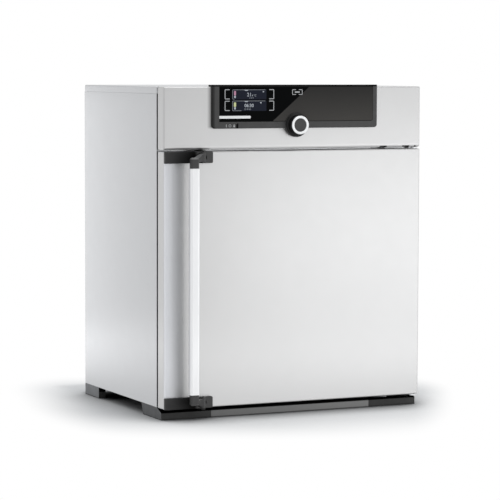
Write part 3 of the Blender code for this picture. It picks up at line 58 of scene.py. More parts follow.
class Nodes:
    """Short forms for building a node tree."""

    def __init__(self, tree):
        self.tree = tree

    def feed(self, socket, value):
        """Link another node's output to a socket, or set the socket to a plain value."""
        if isinstance(value, bpy.types.NodeSocket):
            self.tree.links.new(value, socket)
        else:
            socket.default_value = value

    def add(self, kind, **sockets):
        node = self.tree.nodes.new("ShaderNode" + kind)
        for name, value in sockets.items():
            self.feed(node.inputs[name.replace("_", " ")], value)
        return node

    def calculate(self, operation, *values):
        node = self.add("Math")
        node.operation = operation
        for slot, value in enumerate(values):
            self.feed(node.inputs[slot], value)
        return node.outputs[0]

    def dot(self, first, second):
        node = self.add("VectorMath")
        node.operation = "DOT_PRODUCT"
        self.feed(node.inputs[0], first)
        self.feed(node.inputs[1], second)
        return node.outputs["Value"]

    def spread(self, value, low, high, start=0.3, end=0.7):
        """Map the range from start to end onto the range from low to high, and hold it there."""
        node = self.add("MapRange", Value=value, From_Min=start, From_Max=end, To_Min=low, To_Max=high)
        return node.outputs["Result"]

    def blend(self, factor, first, second, mode="MIX"):
        node = self.add("MixRGB", Fac=factor, Color1=first, Color2=second)
        node.blend_type = mode
        return node.outputs[0]

    def mix_shaders(self, factor, first, second):
        """Mix two shader nodes: 0 shows the first one, 1 the second one."""
        node = self.add("MixShader", Fac=factor)
        self.feed(node.inputs[1], first.outputs[0])
        self.feed(node.inputs[2], second.outputs[0])
        return node.outputs[0]


# Camera and light

CAMERA_PLACE = (-2.7131262, -5.7987351, 0.9187732)
CAMERA_TURN = (1.49178517, -0.00273309, -0.43657666)
CAMERA_LENS = 169.62245
CAMERA_SENSOR = 36.0
CAMERA_CLIP = (0.1, 60.0)

# Each lamp's place, the point it is turned to, its width and height in metres, and its power.
LAMPS = {
    "key": ((1.15, -1.6, 0.28), (0.42, -0.26, 0.30), (1.52, 0.84), 5.24),
    "right": ((1.58, -1.6, 0.93), (0.50, -0.26, 0.85), (1.1, 0.35), 0.64),
    "low": ((0.25, -0.80, 0.06), (0.10, 0.0, 0.06), (1.1, 0.11), 0.31),
    "top": ((0.30, -0.40, 2.6), (0.0, 0.0, 0.4), (1.3, 1.3), 13),
    "left": ((-0.53, 0.95, 0.40), (-0.48, 0.0, 0.37), (0.34, 0.9), 0.90),
    "left_low": ((-0.72, 0.45, 0.075), (-0.37, 0.0, 0.095), (0.8, 0.15), 0.144),
}
STUDIO_COLOUR = (0.96, 0.98, 1.0, 1.0)
STUDIO_STRENGTH = 0.80


def make_camera():
    data = bpy.data.cameras.new("camera")
    data.lens = CAMERA_LENS
    data.sensor_width = CAMERA_SENSOR
    data.clip_start, data.clip_end = CAMERA_CLIP
    camera = bpy.data.objects.new("camera", data)
    camera.location = CAMERA_PLACE
    camera.rotation_euler = CAMERA_TURN
    bpy.context.scene.collection.objects.link(camera)
    bpy.context.scene.camera = camera


def make_lights():
    for name, (place, target, size, power) in LAMPS.items():
        data = bpy.data.lights.new(name, "AREA")
        data.shape = "RECTANGLE"
        data.size, data.size_y = size
        data.energy = power
        lamp = bpy.data.objects.new(name, data)
        lamp.location = place
        lamp.rotation_euler = (Vector(target) - lamp.location).to_track_quat("-Z", "Y").to_euler()
        lamp.visible_camera = False
        bpy.context.scene.collection.objects.link(lamp)


def make_world():
    """Even light from all around, which the camera, reflections and clear panes see as white."""
    world = bpy.data.worlds.new("studio")
    bpy.context.scene.world = world
    world.use_nodes = True
    nodes = Nodes(world.node_tree)
    light = nodes.tree.nodes["Background"]
    nodes.feed(light.inputs["Color"], STUDIO_COLOUR)
    nodes.feed(light.inputs["Strength"], STUDIO_STRENGTH)
    white = nodes.add("Background", Color=WHITE, Strength=1.0)
    path = nodes.add("LightPath").outputs
    direct = nodes.calculate("MAXIMUM", path["Is Camera Ray"], path["Is Glossy Ray"])
    shown = nodes.calculate("MAXIMUM", direct, path["Is Transmission Ray"])
    output = nodes.tree.nodes["World Output"]
    nodes.feed(output.inputs["Surface"], nodes.mix_shaders(shown, light, white))


# Floor

FLOOR_SIZE = 9.0
FLOOR_TONES = ((0.766, 0.768, 0.770, 1.0), (0.786, 0.788, 0.790, 1.0))
FLOOR_GRAIN = 40.0

# How far the painted shade of a close corner reaches on the floor, in metres, and how strong it is.
PAINTED_SHADE_REACH = 0.12
PAINTED_SHADE_POWER = 0.78

# Where the floor's shadow fades out: a direction on the floor, then where the fade starts and ends.
SHADOW_SIDES = [((-0.974, 0.227), 0.42, 0.64), ((-0.770, -0.638), 0.36, 0.80), ((0.0, -1.0), 0.28, 0.77),
                ((0.870, -0.490), 0.43, 0.56), ((0.420, 0.907), 0.14, 0.50)]

# Zones of the floor, each a rectangle: how far its left, right, front and back side lie from the
# middle, the width of the soft edge around it, and the value inside. The value outside is 1. In the
# first zone the floor is never shown as white; the other two are painted shadow, under and just
# behind the body, and along its front.
BODY_SIDE = CAD_BOX[1].x - 0.01
BODY_FRONT = 0.247
BODY_ZONE = ((BODY_SIDE, BODY_SIDE, BODY_FRONT, 0.45), 0.05, 0.0)
REAR_PAINTED_SHADOW = ((BODY_SIDE - 0.03, BODY_SIDE - 0.03, -0.18, 0.30), 0.05, 0.10)
FRONT_PAINTED_SHADOW = ((0.11, 0.31, BODY_FRONT, 0.25), 0.09, 0.75)


def floor_material():
    """Pale floor with the object's shadow, which fades into white around it.
    The shadow is partly cast by the lamps and partly painted shade.
    """
    made = bpy.data.materials.new("floor")
    made.use_nodes = True
    nodes = Nodes(made.node_tree)
    nodes.tree.nodes.remove(nodes.tree.nodes["Principled BSDF"])
    place = nodes.add("TexCoord").outputs["Object"]

    def beyond(direction, start, end):
        """0 to 1 between two distances from the middle of the floor in one direction."""
        return nodes.spread(nodes.dot(place, (*direction, 0.0)), 0.0, 1.0, start, end)

    def gathered(parts):
        """One distance from several: the root of the sum of their squares."""
        total = 0.0
        for part in parts:
            total = nodes.calculate("ADD", nodes.calculate("MULTIPLY", part, part), total)
        return nodes.calculate("SQRT", total)

    def zone(sides, edge, inside):
        """The inside value in a rectangle, rising to 1 across its soft edge."""
        directions = ((-1.0, 0.0), (1.0, 0.0), (0.0, -1.0), (0.0, 1.0))
        distance = gathered([beyond(turn, side, side + 1.0) for turn, side in zip(directions, sides)])
        return nodes.spread(distance, inside, 1.0, 0.0, edge)

    fade = nodes.add("MapRange", Value=gathered([beyond(*side) for side in SHADOW_SIDES]))
    fade.interpolation_type = "SMOOTHSTEP"
    path = nodes.add("LightPath").outputs
    direct = nodes.calculate("MULTIPLY", fade.outputs["Result"], path["Is Camera Ray"])
    reflected = nodes.calculate("MAXIMUM", path["Is Glossy Ray"], path["Is Transmission Ray"])
    shown = nodes.calculate("MULTIPLY", zone(*BODY_ZONE), nodes.calculate("ADD", direct, reflected))

    grain = nodes.add("TexNoise", Scale=FLOOR_GRAIN, Vector=place).outputs["Fac"]
    # Painted shade: ambient occlusion darkens the floor's colour near close corners.
    corner = nodes.add("AmbientOcclusion", Distance=PAINTED_SHADE_REACH)
    corner.samples = 12
    painted_shade = nodes.calculate("POWER", corner.outputs["AO"], PAINTED_SHADE_POWER)
    # Painted shadow: the floor darker under and just behind the body and along its front.
    painted_shadow_zones = nodes.calculate("MULTIPLY", zone(*REAR_PAINTED_SHADOW), zone(*FRONT_PAINTED_SHADOW))
    painted_shade = nodes.calculate("MULTIPLY", painted_shade, painted_shadow_zones)
    colour = nodes.blend(1.0, nodes.blend(grain, *FLOOR_TONES), painted_shade, "MULTIPLY")
    surface = nodes.add("BsdfDiffuse", Color=colour)
    white = nodes.add("Emission", Color=WHITE, Strength=1.0)
    output = nodes.tree.nodes["Material Output"]
    nodes.feed(output.inputs["Surface"], nodes.mix_shaders(shown, surface, white))
    return made


def make_floor():
    mesh = bmesh.new()
    bmesh.ops.create_grid(mesh, x_segments=1, y_segments=1, size=FLOOR_SIZE)
    data = bpy.data.meshes.new("floor")
    mesh.to_mesh(data)
    mesh.free()
    floor = bpy.data.objects.new("floor", data)
    bpy.context.scene.collection.objects.link(floor)
    data.materials.append(floor_material())


# Finishes

# What a full painted shade leaves of a colour.
SHADE_REST = 0.05


def scaled(colour, factor):
    """A colour times one factor, or times one for each channel."""
    factors = factor if isinstance(factor, tuple) else (factor,) * 3
    return tuple(part * share for part, share in zip(colour, factors))


class Finish(Nodes):
    """A Principled material whose textures run in the part's own coordinates."""

    def __init__(self, name, colour, roughness, metallic=0.0, **sockets):
        self.material = bpy.data.materials.new(name)
        self.material.use_nodes = True
        super().__init__(self.material.node_tree)
        self.shader = self.tree.nodes["Principled BSDF"]
        self.colour = colour
        plain = {"Base_Color": (*colour, 1.0), "Roughness": roughness, "Metallic": metallic, **sockets}
        for socket, value in plain.items():
            self.feed(self.shader.inputs[socket.replace("_", " ")], value)
        self.place = self.add("TexCoord").outputs["Object"]
        self.normal = None

    def stretched(self, scale):
        return self.add("Mapping", Vector=self.place, Scale=scale).outputs["Vector"]

    def noise(self, scale, detail=2.0, vector=None):
        return self.add("TexNoise", Scale=scale, Detail=detail, Vector=vector or self.place).outputs["Fac"]

    def cells(self, scale, randomness, feature="F1"):
        node = self.add("TexVoronoi", Scale=scale, Randomness=randomness, Vector=self.place)
        node.feature = feature
        return node.outputs["Distance"]

    def along(self, axis, start, end):
        """0 to 1 between two places on one axis, in metres."""
        return self.spread(self.add("SeparateXYZ", Vector=self.place).outputs[axis], 0.0, 1.0, start, end)

    def near(self, axis, place, start, end):
        """0 to 1 between two distances in mm from a place on one axis."""
        return self.along(axis, place + start * MM, place + end * MM)

    def stretch(self, axis, place, rise, fall):
        """1 along a stretch of one axis, with the distances in mm where it rises and where it falls."""
        return self.both(self.near(axis, place, *rise), self.near(axis, place, *fall))

    def facing(self, axis, start, end):
        """0 to 1 as the surface turns towards or away from one direction."""
        normal = self.add("NewGeometry").outputs["Normal"]
        return self.spread(self.add("SeparateXYZ", Vector=normal).outputs[axis], 0.0, 1.0, start, end)

    def edges(self, width):
        """High along the outer edges, where a painted highlight goes."""
        rounded_off = self.add("Bevel", Radius=width)
        rounded_off.samples = 4
        flat = self.add("NewGeometry")
        match = self.dot(rounded_off.outputs["Normal"], flat.outputs["Normal"])
        return self.spread(match, 1.0, 0.0, 0.80, 0.98)

    def both(self, first, second):
        return self.calculate("MULTIPLY", first, second)

    def before(self, socket):
        """What drives a socket so far: the output linked to it, or its plain value."""
        if socket.is_linked:
            return socket.links[0].from_socket
        return socket.default_value

    def tint(self, value, other, amount=1.0, start=0.3, end=0.7):
        """Vary the colour towards another one where the value is high."""
        base = self.shader.inputs["Base Color"]
        factor = self.spread(value, 0.0, amount, start, end)
        self.feed(base, self.blend(factor, self.before(base), (*other, 1.0)))

    def paint(self, mask, other, amount=1.0):
        """Change the colour to another one where the mask is 1."""
        self.tint(mask, other, amount, 0.0, 1.0)

    def painted_shade(self, mask, amount=1.0):
        """Painted shade: darken the colour and dull the gloss where the mask is 1."""
        self.paint(mask, scaled(self.colour, SHADE_REST), amount)
        level = self.shader.inputs["Specular IOR Level"]
        self.feed(level, self.both(self.spread(mask, 1.0, 1.0 - amount, 0.0, 1.0), self.before(level)))

    def rough(self, value, low, high):
        self.feed(self.shader.inputs["Roughness"], self.spread(value, low, high))

    def bump(self, value, depth, strength=1.0):
        node = self.add("Bump", Strength=strength, Distance=depth, Height=value)
        if self.normal is not None:
            self.feed(node.inputs["Normal"], self.normal)
        self.normal = node.outputs["Normal"]
        self.feed(self.shader.inputs["Normal"], self.normal)


# The door and the header are a little less blue than the body, and the side panels a little darker
# as painted shade.
FRONT_TONE = (1.0, 0.988, 0.966)
SIDE_SHADE_TONE = (0.968, 0.968, 0.968)

# Painted light: how much paler the door is near its left edge,
# and the painted highlight in the fold there.
DOOR_EDGE_PAINTED_LIGHT = (1.11, 1.13, 1.18)
DOOR_FOLD_PAINTED_HIGHLIGHT = (1.36, 1.38, 1.43)

# The brushed grain's scale across and along its lines.
GRAIN_ACROSS = 1100.0
GRAIN_ALONG = 12.0

DARK_GREY = (0.025, 0.0245, 0.0245)
FOOT_GREY = (0.027, 0.0267, 0.0262)

# The cockpit frame's height below its glass, in mm.
GLASS_SILL = 17.5


def textured_steel(name="textured_steel", tone=(1.0, 1.0, 1.0)):
    base = scaled((0.492, 0.499, 0.512), tone)
    made = Finish(name, base, 0.36, 0.88)
    made.tint(made.noise(5.0, 3.0), scaled(base, 1.012))
    made.rough(made.noise(30.0, 3.0), 0.355, 0.375)
    made.bump(made.cells(640.0, 0.45), 0.00006, 0.35)
    made.bump(made.noise(150.0, 2.0), 0.00012, 0.10)
    return made


def brushed_steel(name, along, colour=(0.64, 0.65, 0.66), low=0.22, high=0.34):
    made = Finish(name, colour, 0.28, 1.0)
    scale = [GRAIN_ACROSS] * 3
    scale["XYZ".index(along)] = GRAIN_ALONG
    lines = made.noise(1.0, 3.0, made.stretched(scale))
    made.tint(made.noise(6.0, 2.0), scaled(colour, 1.06))
    made.rough(lines, low, high)
    made.bump(lines, 0.00002, 0.18)
    return made


def door_steel():
    """The outer door's steel, with painted light towards its left edge
    and a painted highlight in the fold there.
    """
    made = textured_steel("door_steel", FRONT_TONE)
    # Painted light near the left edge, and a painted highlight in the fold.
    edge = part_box("door_shell")[0].x
    front = made.near("X", edge, 0.2, 0.8)
    for tone, start, end in ((DOOR_EDGE_PAINTED_LIGHT, 60, 4), (DOOR_FOLD_PAINTED_HIGHLIGHT, 5, 3)):
        made.paint(made.both(front, made.near("X", edge, start, end)), scaled(made.colour, tone))
    return made.material


def header_steel():
    """The header, with painted shadow beside the cockpit frame, and painted shade in its lower fold
    behind the cut-outs over the hinge.
    """
    made = textured_steel("header_steel", FRONT_TONE)
    low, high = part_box("header_panel")
    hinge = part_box("hinge_plate_top")[0]
    # Painted shade in the lower fold behind the cut-outs.
    fold = made.both(made.near("Z", low.z, 8, 6), made.near("Y", low.y, 9, 14))
    cut_outs = made.both(made.near("X", hinge.x, -20, -15), made.near("X", high.x, -1, -2))
    made.painted_shade(made.both(fold, cut_outs), 0.82)
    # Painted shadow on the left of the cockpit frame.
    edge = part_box("cockpit_frame")[0].x
    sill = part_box("cockpit_glass")[0].z - GLASS_SILL * MM
    made.painted_shade(made.both(made.stretch("X", edge, (-12, 0), (3, 1)), made.near("Z", sill, -1, 5)), 0.7)
    return made.material


def hinge_steel():
    """The upper hinge plate, a darker copy of the brushed steel as painted shade, and darker still
    with painted shade where the header's cut-outs leave it in a recess.
    """
    # Painted shade: a darker copy of the brushed steel.
    made = brushed_steel("hinge_steel", "Z", (0.56, 0.57, 0.58))
    low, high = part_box("hinge_plate_top")
    # Painted shade in the recesses behind the cut-outs.
    made.painted_shade(made.stretch("X", low.x, (10, 15), (34, 30)), 0.92)
    made.painted_shade(made.stretch("X", high.x, (-39, -34), (-22, -26)), 0.92)
    return made.material


def base_plastic(name, colour, low, high, right=None, side=None):
    """The plinth's plastic, with painted shade along the floor, on the faces turned up under the door
    and along the top of the front faces. The right colour is painted light on the rail, paler towards
    its right end, and the side colour is painted light on the faces turned to the left.
    """
    made = Finish(name, colour, (low + high) / 2, 0.0, Specular_IOR_Level=0.3)
    if right:
        # Painted light: the rail paler towards its right end.
        rail_low, rail_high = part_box("plinth_rail")
        made.paint(made.along("X", rail_low.x, rail_high.x), right)
    # Painted light: the faces turned to the left paler.
    if side:
        made.paint(made.facing("X", -0.4, -0.8), side)
    made.tint(made.noise(25.0, 3.0), scaled(colour, 1.3), 0.3)
    # Painted shade along the floor.
    made.paint(made.near("Z", 0.0, 3.0, 1.2), (0.010, 0.010, 0.010), 0.9)
    # Painted shade on the faces turned up under the door and along the top of the front faces.
    made.painted_shade(made.facing("Z", 0.5, 0.9))
    made.painted_shade(made.both(made.facing("Y", -0.5, -0.9), made.near("Z", 0.0, 17.4, 18.8)))
    made.rough(made.noise(60.0), low, high)
    made.bump(made.noise(1500.0, 2.0), 0.00005, 0.5)
    return made.material


def moulded(name, colour, low=0.46, high=0.58, edge_highlight=0.5, **sockets):
    """Moulded plastic with a fine grain and a painted highlight along its edges."""
    made = Finish(name, colour, (low + high) / 2, 0.0, **sockets)
    made.tint(made.noise(25.0, 3.0), scaled(colour, 1.25))
    # Painted highlight along the edges.
    if edge_highlight:
        made.paint(made.edges(0.0012), tuple(part * 2.6 + 0.02 for part in colour), edge_highlight)
    made.rough(made.noise(60.0), low, high)
    made.bump(made.noise(1500.0, 2.0), 0.00005, 0.5)
    return made


def bracket_plastic():
    """The handle's brackets, with painted shade in the recess where the arm keeps the light off."""
    made = moulded("bracket_plastic", DARK_GREY)
    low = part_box("handle_bracket_top")[0].x
    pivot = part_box("handle_arm_top")[1].x
    # Painted shade beside the arm.
    recess = made.near("X", pivot, -22, -30)
    made.painted_shade(made.both(made.along("X", low - 25 * MM, pivot - 38 * MM), recess), 0.92)
    return made.material


def arm_plastic():
    """The handle's arms, with a painted highlight on the faces turned up, such as the cap's top edge,
    and painted light around the hub.
    """
    made = moulded("arm_plastic", DARK_GREY)
    # Painted highlight on the faces turned up.
    made.paint(made.facing("Z", 0.4, 0.6), (0.11, 0.11, 0.11), 0.9)
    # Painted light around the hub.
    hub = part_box("handle_arm_top")[1].y
    made.paint(made.near("Y", hub, -18, -10), (0.060, 0.060, 0.060), 0.9)
    return made.material


def cockpit_plastic():
    """The cockpit frame, with painted shade along the hood and towards its left side."""
    made = moulded("cockpit_plastic", (0.026, 0.0255, 0.0255))
    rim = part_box("cockpit_glass")[1].z - MM
    # Painted shade along the hood.
    made.painted_shade(made.near("Z", rim, -1.2, 0), 0.85)
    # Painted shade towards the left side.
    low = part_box("cockpit_frame")[0].x
    made.painted_shade(made.near("X", low, 8, 3), 0.5)
    return made.material


def blackened_steel():
    made = Finish("blackened_steel", (0.012, 0.012, 0.013), 0.55, 0.3, Specular_IOR_Level=0.2)
    made.tint(made.noise(160.0, 4.0), (0.024, 0.022, 0.021), 0.7)
    made.rough(made.noise(90.0), 0.48, 0.62)
    made.bump(made.noise(900.0), 0.00003, 0.4)
    return made.material


def anodised(name="aluminium"):
    made = Finish(name, (0.695, 0.70, 0.71), 0.36, 0.75)
    made.tint(made.noise(7.0), (0.715, 0.718, 0.727))
    made.rough(made.noise(1.0, 3.0, made.stretched((500.0, 500.0, 6.0))), 0.32, 0.42)
    made.bump(made.noise(1400.0), 0.00002, 0.4)
    return made


def bar_aluminium():
    """The handle's bar, with painted light along its left side."""
    made = anodised("bar_aluminium")
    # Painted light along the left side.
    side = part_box("handle_bar")[0].x
    made.paint(made.near("X", side, 8, 3), (0.84, 0.845, 0.855))
    return made.material


def dark_glass():
    """The cockpit glass: a painted reflection, brown at its bottom and darker towards its top,
    and painted shade along its upper and lower edge.
    """
    made = Finish("black_glass", (0.050, 0.047, 0.044), 0.06, Specular_IOR_Level=0.14)
    made.tint(made.noise(12.0, 3.0), (0.055, 0.052, 0.047), 0.6)
    low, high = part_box("cockpit_glass")
    # Painted reflection: darker towards the top.
    made.paint(made.along("Z", low.z, high.z), (0.017, 0.0165, 0.0160), 0.92)
    # Painted shade along the upper and lower edge.
    made.painted_shade(made.near("Z", high.z, -4.0, -0.5), 0.8)
    made.painted_shade(made.near("Z", low.z, 2.4, 1.0), 0.6)
    made.rough(made.noise(22.0, 4.0), 0.04, 0.09)
    return made.material


def black_film():
    made = Finish("screen_print", (0.0016, 0.0018, 0.0020), 0.30, Specular_IOR_Level=0.02)
    made.tint(made.noise(20.0), (0.0022, 0.0025, 0.0027))
    made.rough(made.noise(30.0), 0.26, 0.36)
    return made.material


def clear_glass():
    made = Finish("clear_glass", (0.90, 0.96, 0.93), 0.0, Transmission_Weight=1.0, IOR=1.5)
    made.rough(made.noise(6.0, 4.0), 0.0, 0.02)
    return made.material


def seal_rubber():
    made = Finish("seal_rubber", (0.095, 0.095, 0.10), 0.75)
    made.tint(made.noise(50.0, 4.0), (0.14, 0.14, 0.14))
    made.rough(made.noise(80.0), 0.62, 0.85)
    made.bump(made.noise(1.0, 2.0, made.stretched((300.0, 300.0, 300.0))), 0.0001, 0.4)
    return made.material


def mineral_wool():
    made = Finish("mineral_wool", (0.58, 0.49, 0.27), 0.95)
    fibres = made.noise(1.0, 6.0, made.stretched((220.0, 900.0, 700.0)))
    made.tint(fibres, (0.75, 0.67, 0.42))
    made.rough(fibres, 0.88, 1.0)
    made.bump(fibres, 0.0012, 0.9)
    return made.material


def ceramic():
    made = Finish("module_ceramic", (0.82, 0.81, 0.77), 0.5)
    made.tint(made.cells(90.0, 0.05), (0.70, 0.69, 0.64), 0.6)
    made.rough(made.noise(120.0), 0.42, 0.6)
    made.bump(made.noise(900.0), 0.00004, 0.4)
    return made.material


def circuit_board():
    made = Finish("circuit_board", (0.02, 0.14, 0.06), 0.4)
    tracks = made.cells(160.0, 1.0, "DISTANCE_TO_EDGE")
    made.tint(tracks, (0.05, 0.26, 0.12), 0.8)
    made.rough(made.noise(70.0), 0.3, 0.5)
    made.bump(tracks, 0.0001, 0.5)
    return made.material


BRIGHT_STEEL = brushed_steel("brushed_upright", "Z").material


def dress_nodes():
    level = brushed_steel("brushed_level", "X", (0.68, 0.69, 0.70))
    wire = brushed_steel("polished_wire", "X", (0.72, 0.73, 0.74), 0.12, 0.20)
    frame_front = brushed_steel("sealing_frame", "X", (0.62, 0.625, 0.635), 0.19, 0.26)
    dark = moulded("dark_plastic", DARK_GREY)
    # Painted light: the feet's faces turned to the left are paler, the rear feet's more so.
    front_foot = base_plastic("front_foot", FOOT_GREY, 0.50, 0.62, side=(0.068, 0.070, 0.074))
    rear_foot = base_plastic("rear_foot", FOOT_GREY, 0.50, 0.62, side=(0.175, 0.180, 0.188))
    black = moulded("black_plastic", (0.007, 0.007, 0.0075), 0.34, 0.46, 0.3, Specular_IOR_Level=0.3)
    collar = moulded("collar_black", (0.004, 0.004, 0.0042), 0.34, 0.46, 0.25, Specular_IOR_Level=0.18)
    rocker = moulded("rocker_black", (0.003, 0.003, 0.003), 0.40, 0.50, 0.0, Specular_IOR_Level=0.06)
    # Painted light: the rail is paler towards its right end.
    grey = base_plastic("grey_rail", (0.170, 0.169, 0.166), 0.42, 0.55, right=(0.235, 0.234, 0.230))
    white = moulded("pale_ring", (0.83, 0.83, 0.83), 0.28, 0.38, 0.0)
    looks = {
        # The side panels' steel is a darker copy of the same steel: painted shade.
        textured_steel("side_steel", SIDE_SHADE_TONE).material: "side_panel_left side_panel_right",
        door_steel(): "door_shell",
        textured_steel().material: "top_cover rear_panel base_pan rear_housing",
        header_steel(): "header_panel",
        frame_front.material: "front_frame",
        hinge_steel(): "hinge_plate_top",
        BRIGHT_STEEL: "hinge_plate_bottom striker_top striker_bottom glass_hinge_rail door_liner",
        level.material: "chamber_liner air_baffle",
        wire.material: "shelf_upper shelf_lower temperature_sensor",
        dark.material: "header_carrier fan_frame_left fan_frame_right chamber_fan_motor glass_catch dial_key",
        front_foot: "foot_front_left foot_front_right",
        rear_foot: "foot_rear_left foot_rear_right",
        bracket_plastic(): "handle_bracket_top handle_bracket_bottom",
        arm_plastic(): "handle_arm_top handle_arm_bottom",
        cockpit_plastic(): "cockpit_frame",
        collar.material: "dial_collar",
        black.material: "display_module mains_inlet dial_knob fan_impeller_left"
                        " fan_impeller_right chamber_fan",
        rocker.material: "main_switch",
        grey: "plinth_rail",
        white.material: "dial_ring",
        anodised().material: "hot_sink cold_sink",
        bar_aluminium(): "handle_bar",
        blackened_steel(): "latch_hook_top latch_hook_bottom",
        dark_glass(): "cockpit_glass",
        clear_glass(): "glass_pane",
        seal_rubber(): "door_gasket glass_seal",
        mineral_wool(): "chamber_insulation door_insulation",
        ceramic(): "peltier_module",
        circuit_board(): "control_board",
    }
    dressed = set()
    for look, names in looks.items():
        for name in names.split():
            slots = NODES[name].data.materials
            if len(slots) == 0:
                slots.append(look)
            for index in range(len(slots)):
                slots[index] = look
            dressed.add(name)
    left = sorted(set(NODES) - dressed)
    if left:
        print("nodes without a finish:", left)


# Pieces on the control panel

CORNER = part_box("cockpit_glass")[0]

# Levels in mm in front of the glass's face: the front and the back of each kind of mark.
FILM = (0.04, 0.005)
SCREENS = (0.08, 0.04)
MARKS = (0.10, 0.04)
FIGURES = (0.11, 0.07)
RIMS = (0.13, 0.07)
FRAME_STEP = 0.8
FRAME_MARKS = (FRAME_STEP + 0.06, FRAME_STEP - 0.01)
FIGURE_DEPTH = 0.03

# Places in mm from the glass's lower left corner, as (x, z).
FILM_OUTLINE = [(0.4, 0.4), (152.0, 0.4), (258.4, 90.1), (0.4, 90.1)]
SCREEN_SIDES = (37.4, 134.3)
SCREEN_ROWS = ((57.7, 83.2), (28.0, 54.4))
SCREEN_RADIUS = 1.5
RIM_STARTS = (43.0, 63.0)
RIM_SIDE = 0.4
RIM_INSET = 0.7
RIM_END = 3.3
RIM_CORNER_WIDTHS = (1.2, 1.6)
RIM_CORNER_HEIGHT = 1.3
RIM_WIDTH = 1.2
TAB_SIDES = (71.5, 82.5)
TAB_DEPTHS = (3.4, 1.4)
TAB_SLANT = 2.0
KEY_SIDES = ((16.6, 29.6), (155.4, 142.4))
KEY_ROWS = ((59.1, 82.8), (29.3, 53.2))
KEY_CORNER = 1.0
KEY_WIDTH = 2.0
PORT_SIDES = ((209.5, 219.4), (237.7, 227.8))
PORT_ROW = (70.1, 82.4)
PORT_CORNER = 0.9
PORT_WIDTH = 1.7
PORT_BAR = ((216.4, 74.5), (230.4, 78.1), 0.8)
STRIP = ((0.4, 8.5), (89.4, 15.5), (0.8, 2.4, 2.4, 0.8))

# Each reading: its text, its lower left corner, its height and how much its lines are widened.
READINGS = {
    "reading_upper": ("21", (79.0, 65.5), 9.5, 0.012),
    "reading_unit": (".4 °C", (91.5, 65.5), 5.0, 0.012),
    "reading_upper_small": ("21.4 °C", (85.5, 60.1), 2.9, 0.0),
    "reading_lower": ("06:30", (71.5, 37.5), 9.0, 0.022),
    "reading_lower_small": ("12  04  26", (71.5, 30.9), 3.4, 0.01),
}

# Small marks on the screens: two opposite corners and the corners' radius.
DOTS = [((123.5, 76.0), (127.5, 79.0), 0.6), ((116.5, 47.5), (120.5, 50.5), 0.6),
        ((42.2, 61.3), (47.0, 67.5), 1.6), ((42.2, 31.9), (47.0, 38.1), 1.6)]
WARM_MARK = ((42.0, 68.1), (47.4, 79.5), 1.6)
FRESH_MARK = ((41.4, 38.7), (47.8, 50.1), 1.6)

# The signs beside the main switch: a bar, a ring and a lock.
SWITCH_BAR = ((19.1, -13.7), (20.7, -6.5), 0.5)
SWITCH_RING = (30.2, -10.1)
SWITCH_RING_RADII = (3.5, 2.6)
SWITCH_RING_POINTS = 24
SWITCH_LOCK = ((40.0, -13.7), (44.2, -9.3), 0.6)
SWITCH_BOW = [(40.8, -9.3), (40.8, -7.3), (41.6, -6.4), (42.6, -6.4), (43.4, -7.3), (43.4, -9.3)]
SWITCH_BOW_WIDTH = 0.7

# A bend's mitre grows to the line's half width over this share at most.
MITRE_SHARE = 0.4


def piece(name, mesh, look, body):
    data = bpy.data.meshes.new(name)
    bmesh.ops.recalc_face_normals(mesh, faces=mesh.faces)
    mesh.to_mesh(data)
    mesh.free()
    made = bpy.data.objects.new(name, data)
    bpy.context.scene.collection.objects.link(made)
    data.materials.append(look)
    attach(made, body)
    return made


def slab(mesh, outline, levels):
    """A flat plate: an outline of (x, z) points in mm between two levels in front of the glass."""
    near, far = ([mesh.verts.new((CORNER.x + x * MM, CORNER.y - level * MM, CORNER.z + z * MM))
                  for x, z in outline] for level in levels)
    mesh.faces.new(near)
    mesh.faces.new(far[::-1])
    for k in range(len(near)):
        after = (k + 1) % len(near)
        mesh.faces.new((near[k], far[k], far[after], near[after]))


def rounded_rectangle(low, high, radius, steps=4):
    """Outline in mm, anticlockwise from the lower left; one radius or one for each corner."""
    radii = radius if isinstance(radius, tuple) else (radius,) * 4
    corners = [(low[0], low[1], 180), (high[0], low[1], 270), (high[0], high[1], 0), (low[0], high[1], 90)]
    points = []
    for (x, z, start), r in zip(corners, radii):
        cx = x + (r if x == low[0] else -r)
        cz = z + (r if z == low[1] else -r)
        for step in range(steps + 1):
            angle = math.radians(start + 90 * step / steps)
            points.append((cx + r * math.cos(angle), cz + r * math.sin(angle)))
    return points


def stroke(mesh, points, width, levels):
    """A flat line of the given width through points in mm, with mitred bends."""
    sides = ([], [])
    for k, (x, z) in enumerate(points):
        before = Vector(points[max(k - 1, 0)])
        after = Vector(points[min(k + 1, len(points) - 1)])
        here = Vector((x, z))
        first = (here - before).normalized() if k > 0 else (after - here).normalized()
        second = (after - here).normalized() if k < len(points) - 1 else first
        normal = Vector((-(first + second).y, (first + second).x)).normalized()
        reach = width / 2 / max(normal.dot(Vector((-first.y, first.x))), MITRE_SHARE)
        sides[0].append(here + normal * reach)
        sides[1].append(here - normal * reach)
    slab(mesh, [tuple(p) for p in sides[1]] + [tuple(p) for p in reversed(sides[0])], levels)


def bracket(outer, inner, low, high, corner):
    """Points of a square bracket that opens towards its inner side, with cut corners."""
    turn = corner if outer < inner else -corner
    return [(inner, low), (outer + turn, low), (outer, low + corner), (outer, high - corner),
            (outer + turn, high), (inner, high)]


def glow(name, colour, strength=0.0):
    made = Finish(name, colour, 0.45, Specular_IOR_Level=0.08)
    made.tint(made.noise(300.0), tuple(min(part * 1.08, 1.0) for part in colour))
    made.rough(made.noise(200.0), 0.4, 0.5)
    if strength:
        made.feed(made.shader.inputs["Emission Color"], (*colour, 1.0))
        made.feed(made.shader.inputs["Emission Strength"], strength)
    return made.material


